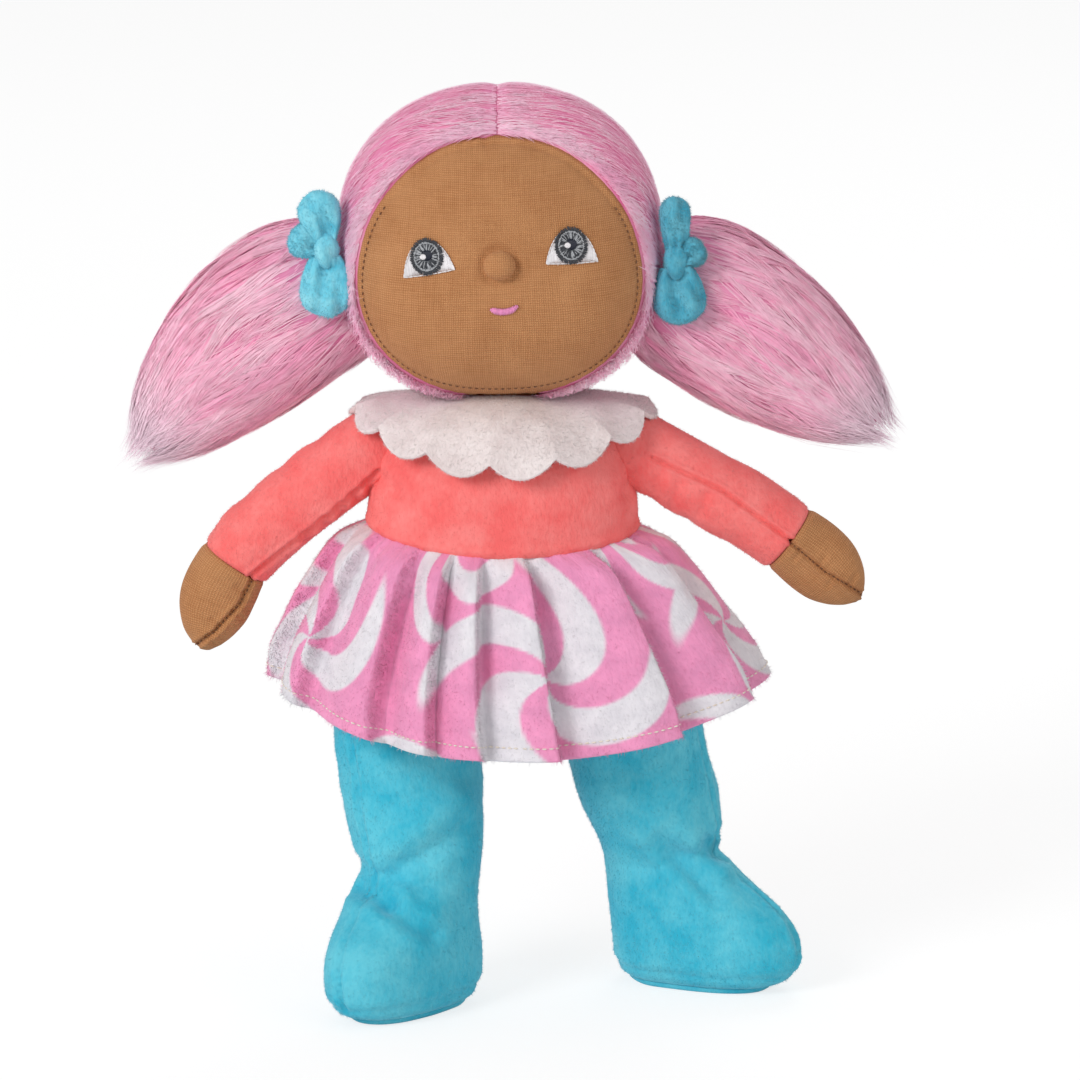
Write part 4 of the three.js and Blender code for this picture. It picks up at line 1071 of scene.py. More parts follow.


# Every hair belongs to a lock, which has a place where it ends, a turn round the bunch, a length, a tone, a
# wave and a height. Hairs of a lock draw together towards its end, where they lie highest; at the bunch's
# tip they part in wisps. Painted shade: they are deep pink at the root, the more so where they lie low, and
# lighter where they lie high; they are pale at the tip.
def layBunch(side, name):
    draw = np.random.default_rng(70 + side)
    count, locks = bunch["hairs"], bunch["locks"]
    order = np.arange(locks)
    lockEnd = mix(0.1, 1.0, order * 0.75488 % 1) ** 0.75  # this step and the next spread the locks evenly
    lockEnd[: bunch["tipLocks"]] = draw.uniform(0.9, 1.03, bunch["tipLocks"])
    lockTurn = math.pi * (order * 0.56984 % 1) * np.where(order % 5 < 3, -1, 1)
    lockSpan = draw.uniform(*bunch["span"], locks)
    lockTone = draw.normal(0, 0.3, locks)
    lockWave = draw.uniform(0, 2 * math.pi, locks)
    lockLift = draw.uniform(0, 1, locks)
    own = draw.integers(0, locks, count)
    far = np.minimum(lockEnd[own] * draw.uniform(0.93, 1.04, count), 1.05)
    drift = bunch["drift"] * draw.normal(size=locks)
    near = np.maximum(far - lockSpan[own] * draw.uniform(0.75, 1.15, count), 0.03 * draw.random(count))
    s = np.linspace(0, 1, bunch["steps"])[None]
    along = near[:, None] + (far - near)[:, None] * s
    held = np.minimum(along, 1)
    offset = draw.normal(0, 1, (count, 1))
    sideways = offset * bunch["lockHalf"] * mix(1, 0.25, s**1.2)
    sideways = sideways + bunch["wave"] * np.sin(along * 13 + lockWave[own][:, None])
    sideways = sideways + 0.35 * np.sin(8 * s + draw.uniform(0, 6, (count, 1)))
    girth = bunch["half"] * np.maximum(through(bunch["shape"], held), 0.3)
    turns = lockTurn[own][:, None] + sideways / girth + drift[own][:, None] * (s - 0.5)
    depth = 0.5 * lockLift[own][:, None] + 0.5 * draw.uniform(0, 1, (count, 1))
    share = mix(0.925 + 0.03 * depth, 0.97 + 0.05 * depth, np.sin(s * 1.5))
    share = share - 0.02 * np.minimum(offset**2, 2.5) * (1 - s)
    _, way, across = bunchAxes(side)
    past = np.maximum(along - 1, 0)[..., None] * (1 + bunch["back"]) * bunch["length"] * way
    wisps = soft(far, 0.8, 1.0)[:, None, None] * draw.normal(0, 1.6, (count, 1, 3)) * s[..., None] ** 2
    paths = bunchPoint(side, held, turns, share) + past + wisps * np.array([1, 0.6, 1])
    up = unit(np.cos(turns)[..., None] * across + np.sin(turns)[..., None] / bunch["flat"] * backWay)
    # Painted shade and light: deep pink at the roots, more where hairs lie low; lighter where they lie high.
    tone = 0.52 + lockTone[own][:, None] + 0.14 * draw.normal(size=(count, 1)) + 0.4 * (depth - 0.5)
    tone = np.clip(tone, 0, 1)[..., None]
    paintedRootShade = mix(0.85, 0.02, s**0.6)[..., None] * (1 - 0.5 * tone) * mix(1, 0.4, depth[..., None])
    colours = mix(mix(fur["mid"], fur["pale"], tone), fur["deep"], paintedRootShade)
    paleEnd = soft(along, 0.68, 0.97)[..., None] * mix(1, 0.75, tone)
    # The bunch on the doll's left is darkened here as painted shade.
    colours = mix(colours, fur["tip"], 0.9 * paleEnd) * bunch["tone"][side]
    thick = draw.uniform(0.7, 1.3, count) * bunch["thick"]
    return hairs(name + "Fur", paths, up, thick, colours, furMat, bunch["height"], smooth=False)


for side, word in sides:
    buildBunch(side, word)
print("bunches laid")

# Torso: a bodice above the waist seam, a seat below it, and a neck that ends in a ball.
torso = {
    "waistZ": 176, "waist": (52, 36), "height": 54, "seatTop": 175.5, "seatHeight": 41, "pileCount": 9000,
    "wide": [(0, 1), (.25, .98), (.55, .93), (.78, .82), (.92, .62), (1, .42)],
    "deep": [(0, 1), (.25, 1.03), (.55, .98), (.78, .83), (.92, .65), (1, .52)],
    "seatWide": [(0, 49.4), (.2, 49), (.3, 44), (.42, 30), (.6, 17), (.8, 12), (1, 5)],
    "seatDeep": [(0, 33.4), (.3, 33), (.6, 30), (.8, 24), (1, 8)],
    "creases": [([(-51, 200), (-41, 190)], 1.3, 2.6), ([(53, 203), (47, 190)], 1.3, 2.6)],
    "nap": {"length": 0.8, "thick": 0.2, "lean": (0, 0, -0.5), "colour": paint(250, 120, 118)},
}
neck = {"radius": 12.5, "ball": 15, "bottom": [(11.8, 218), (12.5, 219), (12.5, 226)]}


def levelRing(turn, halfX, halfY, power=2.2):  # a rounded oval that can be squarer than an ellipse
    c, s = np.cos(turn), np.sin(turn)
    x = np.sign(c) * np.abs(c) ** (2 / power) * halfX
    y = np.sign(s) * np.abs(s) ** (2 / power) * halfY
    return np.stack(np.broadcast_arrays(x, y), -1)


def atHeight(flat, z):  # level points set at their heights
    return np.concatenate([flat, np.broadcast_to(z, flat.shape[:2])[..., None]], -1)


def waistRise(turn):  # the waist seam climbs to both sides, more on the doll's right
    return mix(7.0, 4.5, soft(np.cos(turn), -1, 1)) * np.cos(turn) ** 2


# Bodice: level ovals, tucked in at the waist seam and puffed above it, with small pulls that fade upwards.
def buildBodice():
    turn = ringTurns(150)
    t = np.concatenate([np.linspace(0.0, 0.05, 6), np.linspace(0.07, 1, 64)])[:, None]
    (wide, deep), rise = torso["waist"], t * torso["height"]
    tuck = -0.7 * np.exp(-rise / 1.0) + 0.6 * hill(rise, 2.4, 1.8)
    spot = around(turn, wide, deep, rise)
    swell = 0.6 * cloudy(spot, 16, 91) + 0.25 * cloudy(spot * np.array([1, 1, 0.5]), 6, 92)
    pull = 0.35 * cloudy(spot * np.array([1, 1, 0.2]), 4.5, 93) * np.exp(-rise / 5)
    grow = tuck + swell + pull
    ring = levelRing(turn, wide * through(torso["wide"], t) + grow, deep * through(torso["deep"], t) + grow)
    grid = atHeight(ring, torso["waistZ"] + rise + waistRise(turn) * (1 - t) ** 1.5)
    grid = creased(grid, outwards(grid), torso["creases"])
    bodice = makePiece("bodice", *closedTube(grid), coralMat)
    settle(bodice, "torso", ("bodice",))
    fibre = coat("bodice", grid, outwards(grid), torso["pileCount"], (94, 95), torso["nap"])
    settle(fibre, "torso")


# Seat: level ovals that narrow downwards between the legs, with cloudy dents.
def buildSeat():
    t = np.linspace(0, 1, 40)[:, None]
    ring = levelRing(ringTurns(80), through(torso["seatWide"], t), through(torso["seatDeep"], t))
    grid = atHeight(ring, torso["seatTop"] - t * torso["seatHeight"])
    grid[..., :2] += 0.4 * cloudy(grid, 8, 96)[..., None]
    seat = makePiece("seat", *closedTube(grid), coverMat)
    settle(seat, "torso", ("seat",))


def buildNeck():  # a short post that swells into the ball
    turn = ringTurns(64)
    arc = np.linspace(math.asin(neck["radius"] / neck["ball"]), math.pi - 0.04, 26)
    bottom = np.array(neck["bottom"])
    radius = np.concatenate([bottom[:, 0], neck["ball"] * np.sin(arc)])[:, None]
    high = np.concatenate([bottom[:, 1], nodPoint[2] - neck["ball"] * np.cos(arc)])[:, None]
    spot = around(turn, radius, radius, high) + np.array([nodPoint[0], nodPoint[1], 0])
    grid = spot + 0.2 * cloudy(spot, 5, 97)[..., None] * unit(spot - nodPoint)
    points, faces = closedTube(grid)
    angle = np.concatenate([np.broadcast_to(turn, grid.shape[:2]).ravel(), [0, 0]])
    uv = np.stack([angle * 0.013, points[:, 2] * 0.001], 1)
    piece = makePiece("neck", points, faces, linenMat, uv=uv)
    settle(piece, "neck_post", ("neck",))


buildBodice()
buildSeat()
buildNeck()
print("torso stuffed")

# Collar: a scalloped cape with a rounded edge, as a quadratic curve from the neck to each lobe.
collar = {
    "half": (54, 41), "inner": 16.1, "neckZ": 230, "sideZ": 229.4, "frontZ": 213.4, "thick": 2.0,
    "over": 0.25, "scallops": 14, "scallopTurn": 8, "drop": 5.6, "stand": 2.0, "nodRoom": (1, 5.5),
    "columns": 240, "rows": 44, "mapSize": (45, 48), "pileCount": 11000,
    "nap": {"length": 1.1, "thick": 0.22, "colour": paint(246, 237, 236)},
}


def collarPoint(turn, t, lift):
    front = np.sin(turn) ** 2
    lobes = collar["scallops"] / 2 * (turn + math.pi / 2 - math.radians(collar["scallopTurn"]))
    drop = np.abs(np.cos(lobes)) ** 0.8 * collar["drop"] * mix(0.95, 1, front)
    low = mix(collar["sideZ"], collar["frontZ"], front**0.8)
    a, b, c = (1 - t) ** 2, 2 * t * (1 - t), t * t
    lobe = drop * t**5
    wide, long = collar["half"]
    out = a * collar["inner"] + b * wide * 0.8 + c * wide + lobe * (1 - front) * 0.5
    deep = a * collar["inner"] + b * long * 0.77 + c * long + lobe * 0.15
    behind = soft(np.sin(turn), -0.2, 0.2)
    rim = collar["neckZ"] + 0.6 + collar["stand"] * front * (1 - behind)
    room = mix(*collar["nodRoom"], behind) * front  # it lies lower at the back, where the head tips over it
    high = a * rim + b * (collar["neckZ"] + 1.2 - room) + c * low - lobe
    steep = np.minimum(t, 1) * mix(0.75, 1, front)
    x = np.cos(turn) * (out + lift * steep)
    y = np.sin(turn) * (deep + lift * steep)
    return np.stack([x, y, high + lift * np.sqrt(1 - 0.94 * steep * steep)], -1)


# One half of the collar: a closed sheet that lies in cloudy waves, and its pile.
def buildCollar(side, word):
    name = "collar" + word.capitalize()
    t, inside = sheetRows(np.linspace(0, 1, collar["rows"]), 0.2, 0.014)
    lift = (1 - inside) * collar["thick"] + collar["over"]
    t, turn, lift = np.broadcast_arrays(t, halfRound(side, collar["columns"])[None], lift)
    spot = around(turn, collar["half"][0] * t, collar["half"][1] * t, 0 * t)
    grid = collarPoint(turn, t, lift + 0.5 * cloudy(spot, 13, 101) * soft(t, 0.1, 0.5))
    flat = np.stack([turn, t], -1) * np.array(collar["mapSize"]) * 0.001
    piece = makePiece(name, *closedSheet(grid), collarMat, uv=flat.reshape(-1, 2))
    settle(piece, "torso", ("collar",))
    outer = grid[: collar["rows"] + 5]
    normals = gridNormals(outer)
    normals *= np.sign(normals[20, :, 2].mean())
    nap = {**collar["nap"], "lean": (0.7 * side, -0.1, -0.3)}
    seeds = (103 + side, 105 + side)
    fibre = coat(name, outer, normals, collar["pileCount"], seeds, nap, loopCols=False)
    settle(fibre, "torso")


for side, word in sides:
    buildCollar(side, word)
print("collar sewn")

# Skirt: gathered cloth that flares from the waist seam, with knife pleats that lean to the doll's left.
# Edges are where the pleats meet, in degrees round the waist.
skirt = {
    "top": 176.6, "waist": (51.3, 35.3), "flare": (42, 27), "length": 53, "dip": (19, 15), "sway": 6,
    "wide": [(0, 0), (.07, .2), (.2, .36), (.5, .64), (.8, .9), (1, 1)],
    "edges": [-201, -175, -149, -122.3, -107.6, -96.1, -81.1, -50.1, -21.7, 5, 32, 60, 86, 112, 138, 159],
    "depth": [6, 6, 6.6, 8, 6.4, 9.4, 9.4, 8, 6.4, 6, 6, 6, 6, 6, 6], "fuller": 1.35,
    "swell": [(0, 0.12), (.08, .75), (.3, 1), (.7, 1), (1, .78)], "thick": 1.7, "columns": 330,
    "rows": (11, 74), "mapRadius": 88, "mapLength": 69, "ridgeAt": 0.86,
    "hem": 4.3, "stitchPitch": 2.65, "stitchLength": 1.75, "stitchThick": 0.6, "stitchBow": 0.25,
    "pileCount": 21000, "nap": {"length": 1.15, "thick": 0.2, "lean": (0, 0, -0.7)},
    "pink": paint(249, 160, 202), "white": paint(240, 236, 241), "lining": paint(236, 214, 226),
}
# The print's rows of pinwheels: each has its way down, its way round and its size.
pinwheels = {"rows": [(41.0, 126.23, 1.0), (-6.0, 56.0, 0.78), (92.0, 56.0, 0.78)], "count": 5, "blades": 4}
pinwheels["limit"] = [(0, 0.1), (7, -0.1), (18, -0.15), (32, 0.05), (43, 0.75), (50, 1.3)]


def pleatAt(turn):  # share of the way across its pleat, and that pleat's depth and span
    edges = np.array(skirt["edges"])
    degrees = (np.degrees(turn) - edges[0]) % 360 + edges[0]
    i = np.clip(np.searchsorted(edges, degrees, side="right") - 1, 0, len(edges) - 2)
    span = edges[i + 1] - edges[i]
    return (degrees - edges[i]) / span, np.array(skirt["depth"])[i], span


# Each pleat rises slowly to a ridge and falls back fast; the fold leans, and is shallow at the waist.
def skirtPoint(turn, t, inward):
    share, depth, span = pleatAt(turn)
    ridge = soft(share, 0.0, 0.72) * (1 - soft(share, 0.8, 1.0))
    swell = through(skirt["swell"], t)
    fold = skirt["fuller"] * depth * swell * (ridge - 0.58) - inward
    fine = 0.5 * np.cos(np.radians(9) + turn * 37 + 2 * np.sin(turn * 5)) * np.exp(-t * 9)
    grow = fold + fine
    turned = turn + np.radians(span * 0.12) * ridge * swell
    side = np.sin(turned)
    dip = np.where(side < 0, *skirt["dip"])
    hem = skirt["top"] - skirt["length"] - dip * side**2 + 1.8 * (ridge - 0.5) * soft(t, 0.5, 1)
    flare = through(skirt["wide"], t)
    ring = levelRing(turned, *(w + f * flare + grow for w, f in zip(skirt["waist"], skirt["flare"])))
    z = mix(skirt["top"] + waistRise(turn), hem, t)
    return np.stack([ring[..., 0] + skirt["sway"] * t**2, ring[..., 1], z], -1)


# The print's white, 0 to 1: rows of pinwheels, each a ring of comma blades that twist with their distance
# from the middle and narrow towards their ends.
def swirlPrint(turn, t):
    across, down = turn * skirt["mapRadius"], t * skirt["mapLength"]
    pitch = 2 * math.pi * skirt["mapRadius"] / pinwheels["count"]
    shade = np.zeros_like(across)
    for row, (high, offset, size) in enumerate(pinwheels["rows"]):
        place = across + offset + pitch / 2
        x, y = place % pitch - pitch / 2, down - high
        cell = np.floor(place / pitch) % pinwheels["count"]
        away = np.hypot(x, y) / size
        blade = np.sin(pinwheels["blades"] * (np.arctan2(y, x) + 0.046 * away + 1.3 * cell + row))
        limit = through(pinwheels["limit"], away)
        shade = np.maximum(shade, soft(blade - limit, -0.15, 0.15) * (away < pinwheels["limit"][-1][0]))
    return shade


def printColour(turn, t):
    return mix(skirt["pink"], skirt["white"], swirlPrint(turn, t)[..., None])


def follow(piece):
    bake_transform(piece)


# Pile of the print's own colours, longer and thicker along the ridges of the pleats and at the hem.
def skirtPile(name, outer, normals, turn, t, seeds):
    count, nap = skirt["pileCount"], skirt["nap"]
    ridges = 1 + 3 * hill(pleatAt(turn)[0], skirt["ridgeAt"], 0.06)
    weight = np.broadcast_to(ridges, outer.shape[:2])
    roots, outs, row, col = scatter(outer, normals, count, seeds[0], loopCols=False, weight=weight)
    tAt = np.interp(row, np.arange(len(t)), t)
    turnAt = np.interp(col, np.arange(len(turn)), turn)
    longer = 0.7 * hill(pleatAt(turnAt)[0], skirt["ridgeAt"], 0.07) + 0.6 * soft(tAt, 0.96, 1.0)
    length = nap["length"] * (1 + longer)
    colours = printColour(turnAt, tAt)
    fibre = pile(name + "Pile", roots, outs, np.array(nap["lean"]), length, nap["thick"], colours, seeds[1])
    follow(fibre)
    return fibre


# Stitches at even steps along the cloth, a hem's width above its edge.
def skirtHem(name, turn):
    fine = np.linspace(turn[0], turn[-1], 3000)
    tLine = np.full(len(fine), 1 - skirt["hem"] / (skirt["length"] + 14))
    line = skirtPoint(fine, tLine, np.full(len(fine), -0.25))
    run = runAlong(line)
    first = np.arange(int(run[-1] // skirt["stitchPitch"])) * skirt["stitchPitch"] + 0.4
    a, b = (pickAt(at, run, line) for at in (first, first + skirt["stitchLength"]))
    mid = np.interp(first, run, fine)
    up = unit(np.stack([np.cos(mid), np.sin(mid), 0.25 * np.ones(len(mid))], 1))
    sewn = stitches(name + "Hem", a, b, up, skirt["stitchThick"], skirt["stitchBow"], creamThread)
    follow(sewn)
    return sewn


# One half of the skirt: a closed sheet with a cloudy ripple, its pile and its stitched hem.
def buildSkirt(side, word):
    name, body = "skirt" + word.capitalize(), word + "_limb"
    columns = heldEnds(-math.pi / 2, math.pi / 2, skirt["columns"])
    if side < 0:
        columns = math.pi + columns
    gathers, rows = skirt["rows"]
    down = np.concatenate([np.linspace(0, 0.1, gathers)[:-1], np.linspace(0.1, 1, rows)])
    t, inside = sheetRows(down, 0.25, 0.012)
    rowT, half = t[:, 0], len(down) + 3
    t, turn, inward = np.broadcast_arrays(t, columns[None], inside * skirt["thick"])
    spot = around(turn, 90, 62, t * 75)
    out = around(turn, 1, 1, 0 * t)
    ripple = 0.45 * cloudy(spot, 12, 111) * soft(t, 0.1, 0.4)
    grid = skirtPoint(turn, t, inward) + ripple[..., None] * out
    tint = printColour(turn, t)
    tint[half:] = mix(tint[half:], skirt["lining"], 0.7)
    flat = np.stack([turn * skirt["mapRadius"], t * skirt["mapLength"]], -1) * 0.001
    piece = makePiece(name, *closedSheet(grid), skirtMat, uv=flat.reshape(-1, 2), tint=tint.reshape(-1, 3))
    follow(piece)
    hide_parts("skirt")
    outer = grid[:half]
    normals = gridNormals(outer)
    normals *= np.sign(np.sum(normals * out[:half], -1).mean())
    fibre = skirtPile(name, outer, normals, columns, rowT, (113 + side, 115 + side))
    sewn = skirtHem(name, columns)


for side, word in sides:
    buildSkirt(side, word)
print("skirt sewn")

# Arms: a sleeve and a mitten hand on two curves of three points each. Seams are drawn in the front view.
arm = {
    "ball": 15, "sleeve": 69, "cuff": 13.6, "hand": 36, "handHalf": (14.4, 10.5), "out": 49, "z": 212,
    "dips": {1: (30.5, 42), -1: (40, 72)}, "bend": 0.3, "palm": 0.45, "gap": 0.3, "columns": 140,
    "girth": [(0, .97), (.3, .96), (.6, .97), (.85, .94)],
    "handWide": [(.35, 1), (.6, .93), (.8, .7), (.93, .4), (1, .1)],
    "handDeep": [(.35, 1), (.6, .92), (.8, .72), (.93, .42), (1, .1)],
    "sleeveSeam": {
        1: [(56, 203), (82.5, 191), (109.5, 171.2)],
        -1: [(-47, 198), (-65.7, 181.7), (-95.5, 158.5)],
    },
    "handSeam": {
        1: [(105, 174), (122.4, 159.7), (138, 150.5)],
        -1: [(-94, 159), (-99.9, 147.5), (-109.4, 137.2), (-119, 130.5)],
    },
    "seamDepth": 1.7, "seamWidth": 0.8, "puckers": {1: (5, 14, 25), -1: (6, 13, 20, 28, 37)},
    "puckerDepth": {1: 0.55, -1: 1.0}, "puckerWidth": 1.8, "handFolds": (0.22, 0.42, 0.6, 0.78),
    "seam": {"pitch": 1.9, "share": 0.6, "thick": 0.5, "lift": 0.15, "bow": 0.2},
    "pileCount": 10000, "nap": {"length": 0.8, "thick": 0.2, "colour": paint(253, 138, 137)},
}


# A quadratic curve of three points, and below it the curve's direction.
def bezier(a, b, c, t):
    t = np.asarray(t)[:, None]
    return (1 - t) ** 2 * a + 2 * t * (1 - t) * b + t**2 * c


def bezierWay(a, b, c, t):
    t = np.asarray(t)[:, None]
    return unit(2 * (1 - t) * (b - a) + 2 * t * (c - b))


def armPaths(side):  # the three points of the sleeve's curve and of the hand's
    sleeveWay, handWay = (
        np.array([side * math.cos(dip), 0, -math.sin(dip)]) for dip in map(math.radians, arm["dips"][side])
    )
    bendWay = unit(sleeveWay + handWay)
    start = np.array([side * arm["out"], 0, arm["z"]], float)
    cuff = start + sleeveWay * arm["sleeve"]
    elbow = cuff - bendWay * arm["sleeve"] * arm["bend"]
    wrist = cuff + bendWay * arm["gap"]
    palm = wrist + bendWay * arm["hand"] * arm["palm"]
    return (start, elbow, cuff), (wrist, palm, wrist + handWay * arm["hand"])


# Rings round a path that stays upright: one half size across it, one front to back.
def ringsAlong(middle, way, wide, deep, turn):
    across = unit(np.cross(way, backWay))
    sideways = np.cos(turn)[..., None] * wide[..., None] * across[:, None]
    return middle[:, None] + sideways + np.sin(turn)[..., None] * deep[..., None] * backWay


# Short folds that run off the sleeve's seam on its lower side, each second one longer.
def sleevePuckers(side):
    path = np.array(arm["sleeveSeam"][side], float)
    run = unit(path[-1] - path[0])
    lower = np.array([side * run[1], -side * run[0]])
    lines = []
    for number, at in enumerate(arm["puckers"][side]):
        foot = path[0] + run * at + lower * 1.5
        end = foot + lower * (6 + number % 2 * 4) + run * 2
        lines.append(([foot, end], arm["puckerDepth"][side], arm["puckerWidth"]))
    return lines


# Short folds across the hand's seam, to one side and the other in turn.
def handFolds(side):
    track = np.array(arm["handSeam"][side], float)
    across = unit(track[-1] - track[0])[::-1] * np.array([-1, 1])
    lines = []
    for number, at in enumerate(arm["handFolds"]):
        spot = pickAt([at * (len(track) - 1)], np.arange(len(track)), track)[0]
        lines.append(([spot, spot + across * (4.5 if number % 2 else -4)], 0.5, 0.9))
    return lines


# Sleeve: a dome at the shoulder and rings along the curve, with a seam at the back, creases on the inside
# of the arm and a tuck at the cuff.
def buildSleeve(side, word):
    name, body = "arm" + word.capitalize() + "Sleeve", word + "_arm"
    path, _ = armPaths(side)
    turn = ringTurns(arm["columns"])
    t = np.linspace(0, 1, 96)
    dome = np.linspace(-math.pi / 2 + 0.05, 0, 12)[:-1]
    firstWay = bezierWay(*path, [0.0])
    middle = np.concatenate([path[0] + np.sin(dome)[:, None] * arm["ball"] * firstWay, bezier(*path, t)])
    way = np.concatenate([np.repeat(firstWay, len(dome), 0), bezierWay(*path, t)])
    girth = arm["ball"] * through([*arm["girth"], (1, arm["cuff"] / arm["ball"])], t)
    radius = np.concatenate([np.cos(dome) * arm["ball"] * arm["girth"][0][1], girth])[:, None]
    run = np.concatenate([np.sin(dome) * arm["ball"], t * arm["sleeve"]])[:, None]
    angle = np.degrees(turn) % 360
    seam = -0.95 * hill(angle, 82, 3.4) * soft(run, -4, 6) * (0.8 + 0.2 * np.sin(run * 2.3))
    spot = around(turn, arm["ball"], arm["ball"], run)
    swell = 0.55 * cloudy(spot, 13, 121 + side) + 0.2 * cloudy(spot, 5, 123)
    creases = hill(run, 12, 3.5) + 0.6 * hill(run, 26, 4) + 0.7 * hill(run, 44, 5)
    tuck = -0.9 * hill(run, arm["sleeve"], 1.2)
    wide = radius + seam + swell - 0.9 * hill(angle, 180, 70) * creases + tuck
    grid = ringsAlong(middle, way, wide, wide, np.broadcast_to(turn, wide.shape))
    seamLine = (arm["sleeveSeam"][side], arm["seamDepth"], arm["seamWidth"])
    grid = creased(grid, outwards(grid), [seamLine, *sleevePuckers(side)])
    sleeve = makePiece(name, *closedTube(grid), coralMat)
    settle(sleeve, body, (word + "_sleeve",))
    seeds = (125 + side, 127 + side)
    fibre = coat(name, grid, outwards(grid), arm["pileCount"], seeds, arm["nap"], rowLean=way * 0.7)
    settle(fibre, body)


# Hand: a mitten that narrows to its tip, drawn in at the cuff and along a stitched seam.
def buildHand(side, word):
    name, body = "arm" + word.capitalize() + "Hand", word + "_arm"
    _, path = armPaths(side)
    u = np.concatenate([np.linspace(0, 0.9, 56), np.linspace(0.91, 1.0, 16)])
    run = u[:, None] * arm["hand"]
    turn = np.broadcast_to(ringTurns(arm["columns"]), (len(u), arm["columns"]))
    wide, deep = (
        half * through([(0, arm["cuff"] / half), *stops], u)[:, None]
        for half, stops in zip(arm["handHalf"], (arm["handWide"], arm["handDeep"]))
    )
    stitched = 0.7 + 0.3 * np.sin(run * 2 * math.pi / 2.4)
    seam = hill(np.degrees(turn) % 360, 90, 3.2) * stitched * soft(run, 0, 3)
    grow = -1.0 * seam + 0.3 * cloudy(around(turn, 12, 12, run), 8, 131 + side) - 0.7 * hill(run, 0, 1.3)
    grid = ringsAlong(bezier(*path, u), bezierWay(*path, u), wide + grow, deep + grow, turn)
    seamPath = arm["handSeam"][side]
    grid = creased(grid, outwards(grid), [(seamPath, arm["seamDepth"], arm["seamWidth"]), *handFolds(side)])
    fromSeam = np.abs((turn + math.pi) % (2 * math.pi) - math.pi) * arm["handHalf"][1]
    flat = np.stack([np.broadcast_to(run, turn.shape), fromSeam], -1).reshape(-1, 2)
    uv = np.concatenate([flat, [[0, 0], [arm["hand"], 0]]]) * 0.001
    hand = makePiece(name, *closedTube(grid), linenMat, uv=uv)
    settle(hand, body, (word + "_hand",))
    sewn = seamStitches(name + "Seam", grid, outwards(grid), seamPath, arm["seam"], brownThread)
    settle(sewn, body)


for side, word in sides:
    buildSleeve(side, word)
    buildHand(side, word)
print("arms stuffed")

# Legs: a boot and a leg in one skin. A row of the foot has its height and its shares of the half width, the
# front and the back; creases are drawn in the front view.
leg = {
    "length": 138, "hipOut": 40.04, "hipBall": 24, "half": 27.6, "ankleHalf": 22.6, "ankleZ": 50,
    "front": 52, "back": 22.5, "footHalf": 22, "base": 2.7, "columns": 130,
    "calf": [(.2, .97), (.45, 1), (.75, .95)], "seamTurn": {1: 6, -1: -12}, "wrinkle": 1.35,
    "ankle": {1: (62, 11), -1: (-32, -17)}, "foot": {1: (67, 11), -1: (-31, -22)}, "toeOut": {1: 64, -1: 35},
    "creases": {
        1: [
            ([(83, 52), (79, 55)], 2.2, 3.6), ([(86, 50), (108, 33), (114, 15)], 1.3, 1.5),
            ([(60, 57), (80, 36)], 1.3, 3.4), ([(70, 62), (84, 44)], -0.9, 3.2),
            ([(52, 50), (70, 30)], 0.8, 3.6), ([(46, 84), (66, 70)], 0.7, 5),
        ],
        -1: [
            ([(-46, 54), (-17, 74)], -1.5, 4.6), ([(-55, 41), (-43, 36)], 2.3, 3.4),
            ([(-43, 33), (-26, 23)], 1.5, 2.8), ([(-40, 46), (-14, 62)], 1.0, 3.4),
            ([(-60, 84), (-44, 72)], 0.8, 4.4), ([(-34, 90), (-16, 82)], 0.7, 5),
        ],
    },
    "footRows": [
        (0, .79, .79, .87), (.03, .87, .865, .93), (.106, .95, .94, .98), (.254, 1, 1, 1),
        (.423, 1, 1, 1.01), (.592, 1, .9, 1.01), (.74, 1, .73, 1.01), (.867, 1, .56, 1.01),
        (1, 1.0273, .445, 1.005),
    ],
    "under": (0.2, 0.5, 0.8, 0.95), "pileCount": 19000,
    "sole": [
        (.15, 0), (.6, 0), (.84, 0), (.9, .25), (.93, .9), (.945, 1.8), (.95, 2.5), (.6, 2.55), (.15, 2.55),
    ],
    "nap": {"length": 1.0, "thick": 0.19, "lean": (0.15, 0, -0.75), "rough": 0.35},
    "napTones": (paint(62, 190, 218), paint(112, 211, 229)),
}


def legAxis(side, z):  # from the hip to the ankle, then to the middle of the foot
    t = np.clip((leg["length"] - z) / (leg["length"] - leg["ankleZ"]), 0, 1)[:, None]
    low = np.clip((leg["ankleZ"] - z) / leg["ankleZ"], 0, 1)[:, None]
    stops = ((side * leg["hipOut"], 0), leg["ankle"][side], leg["foot"][side])
    hip, ankle, foot = (np.array(stop, float) for stop in stops)
    return mix(mix(hip, ankle, t), foot, low)


# Heights of a leg's rings and their half widths, fronts and backs: foot, calf and a dome at the hip.
def legRows():
    footT = np.linspace(0, 1, 60)
    calfT = np.linspace(1, 0, 66)[1:]
    dome = np.radians(np.linspace(4, 86, 14))
    footZ = leg["base"] + footT * (leg["ankleZ"] - leg["base"])
    calfZ = mix(leg["length"], leg["ankleZ"], calfT)
    z = np.concatenate([footZ, calfZ, leg["length"] + leg["hipBall"] * np.sin(dome)])
    swells = [(t, leg["half"] * share) for t, share in leg["calf"]]
    calf = through([(0, leg["hipBall"]), *swells, (1, leg["ankleHalf"])], calfT)
    domeHalf = leg["hipBall"] * np.cos(dome) * 0.985
    rows = np.array(leg["footRows"])
    halves = [
        np.concatenate([size * through(rows[:, [0, k + 1]], footT), calf, domeHalf])[:, None]
        for k, size in enumerate((leg["footHalf"], leg["front"], leg["back"]))
    ]
    return z[:, None], *halves


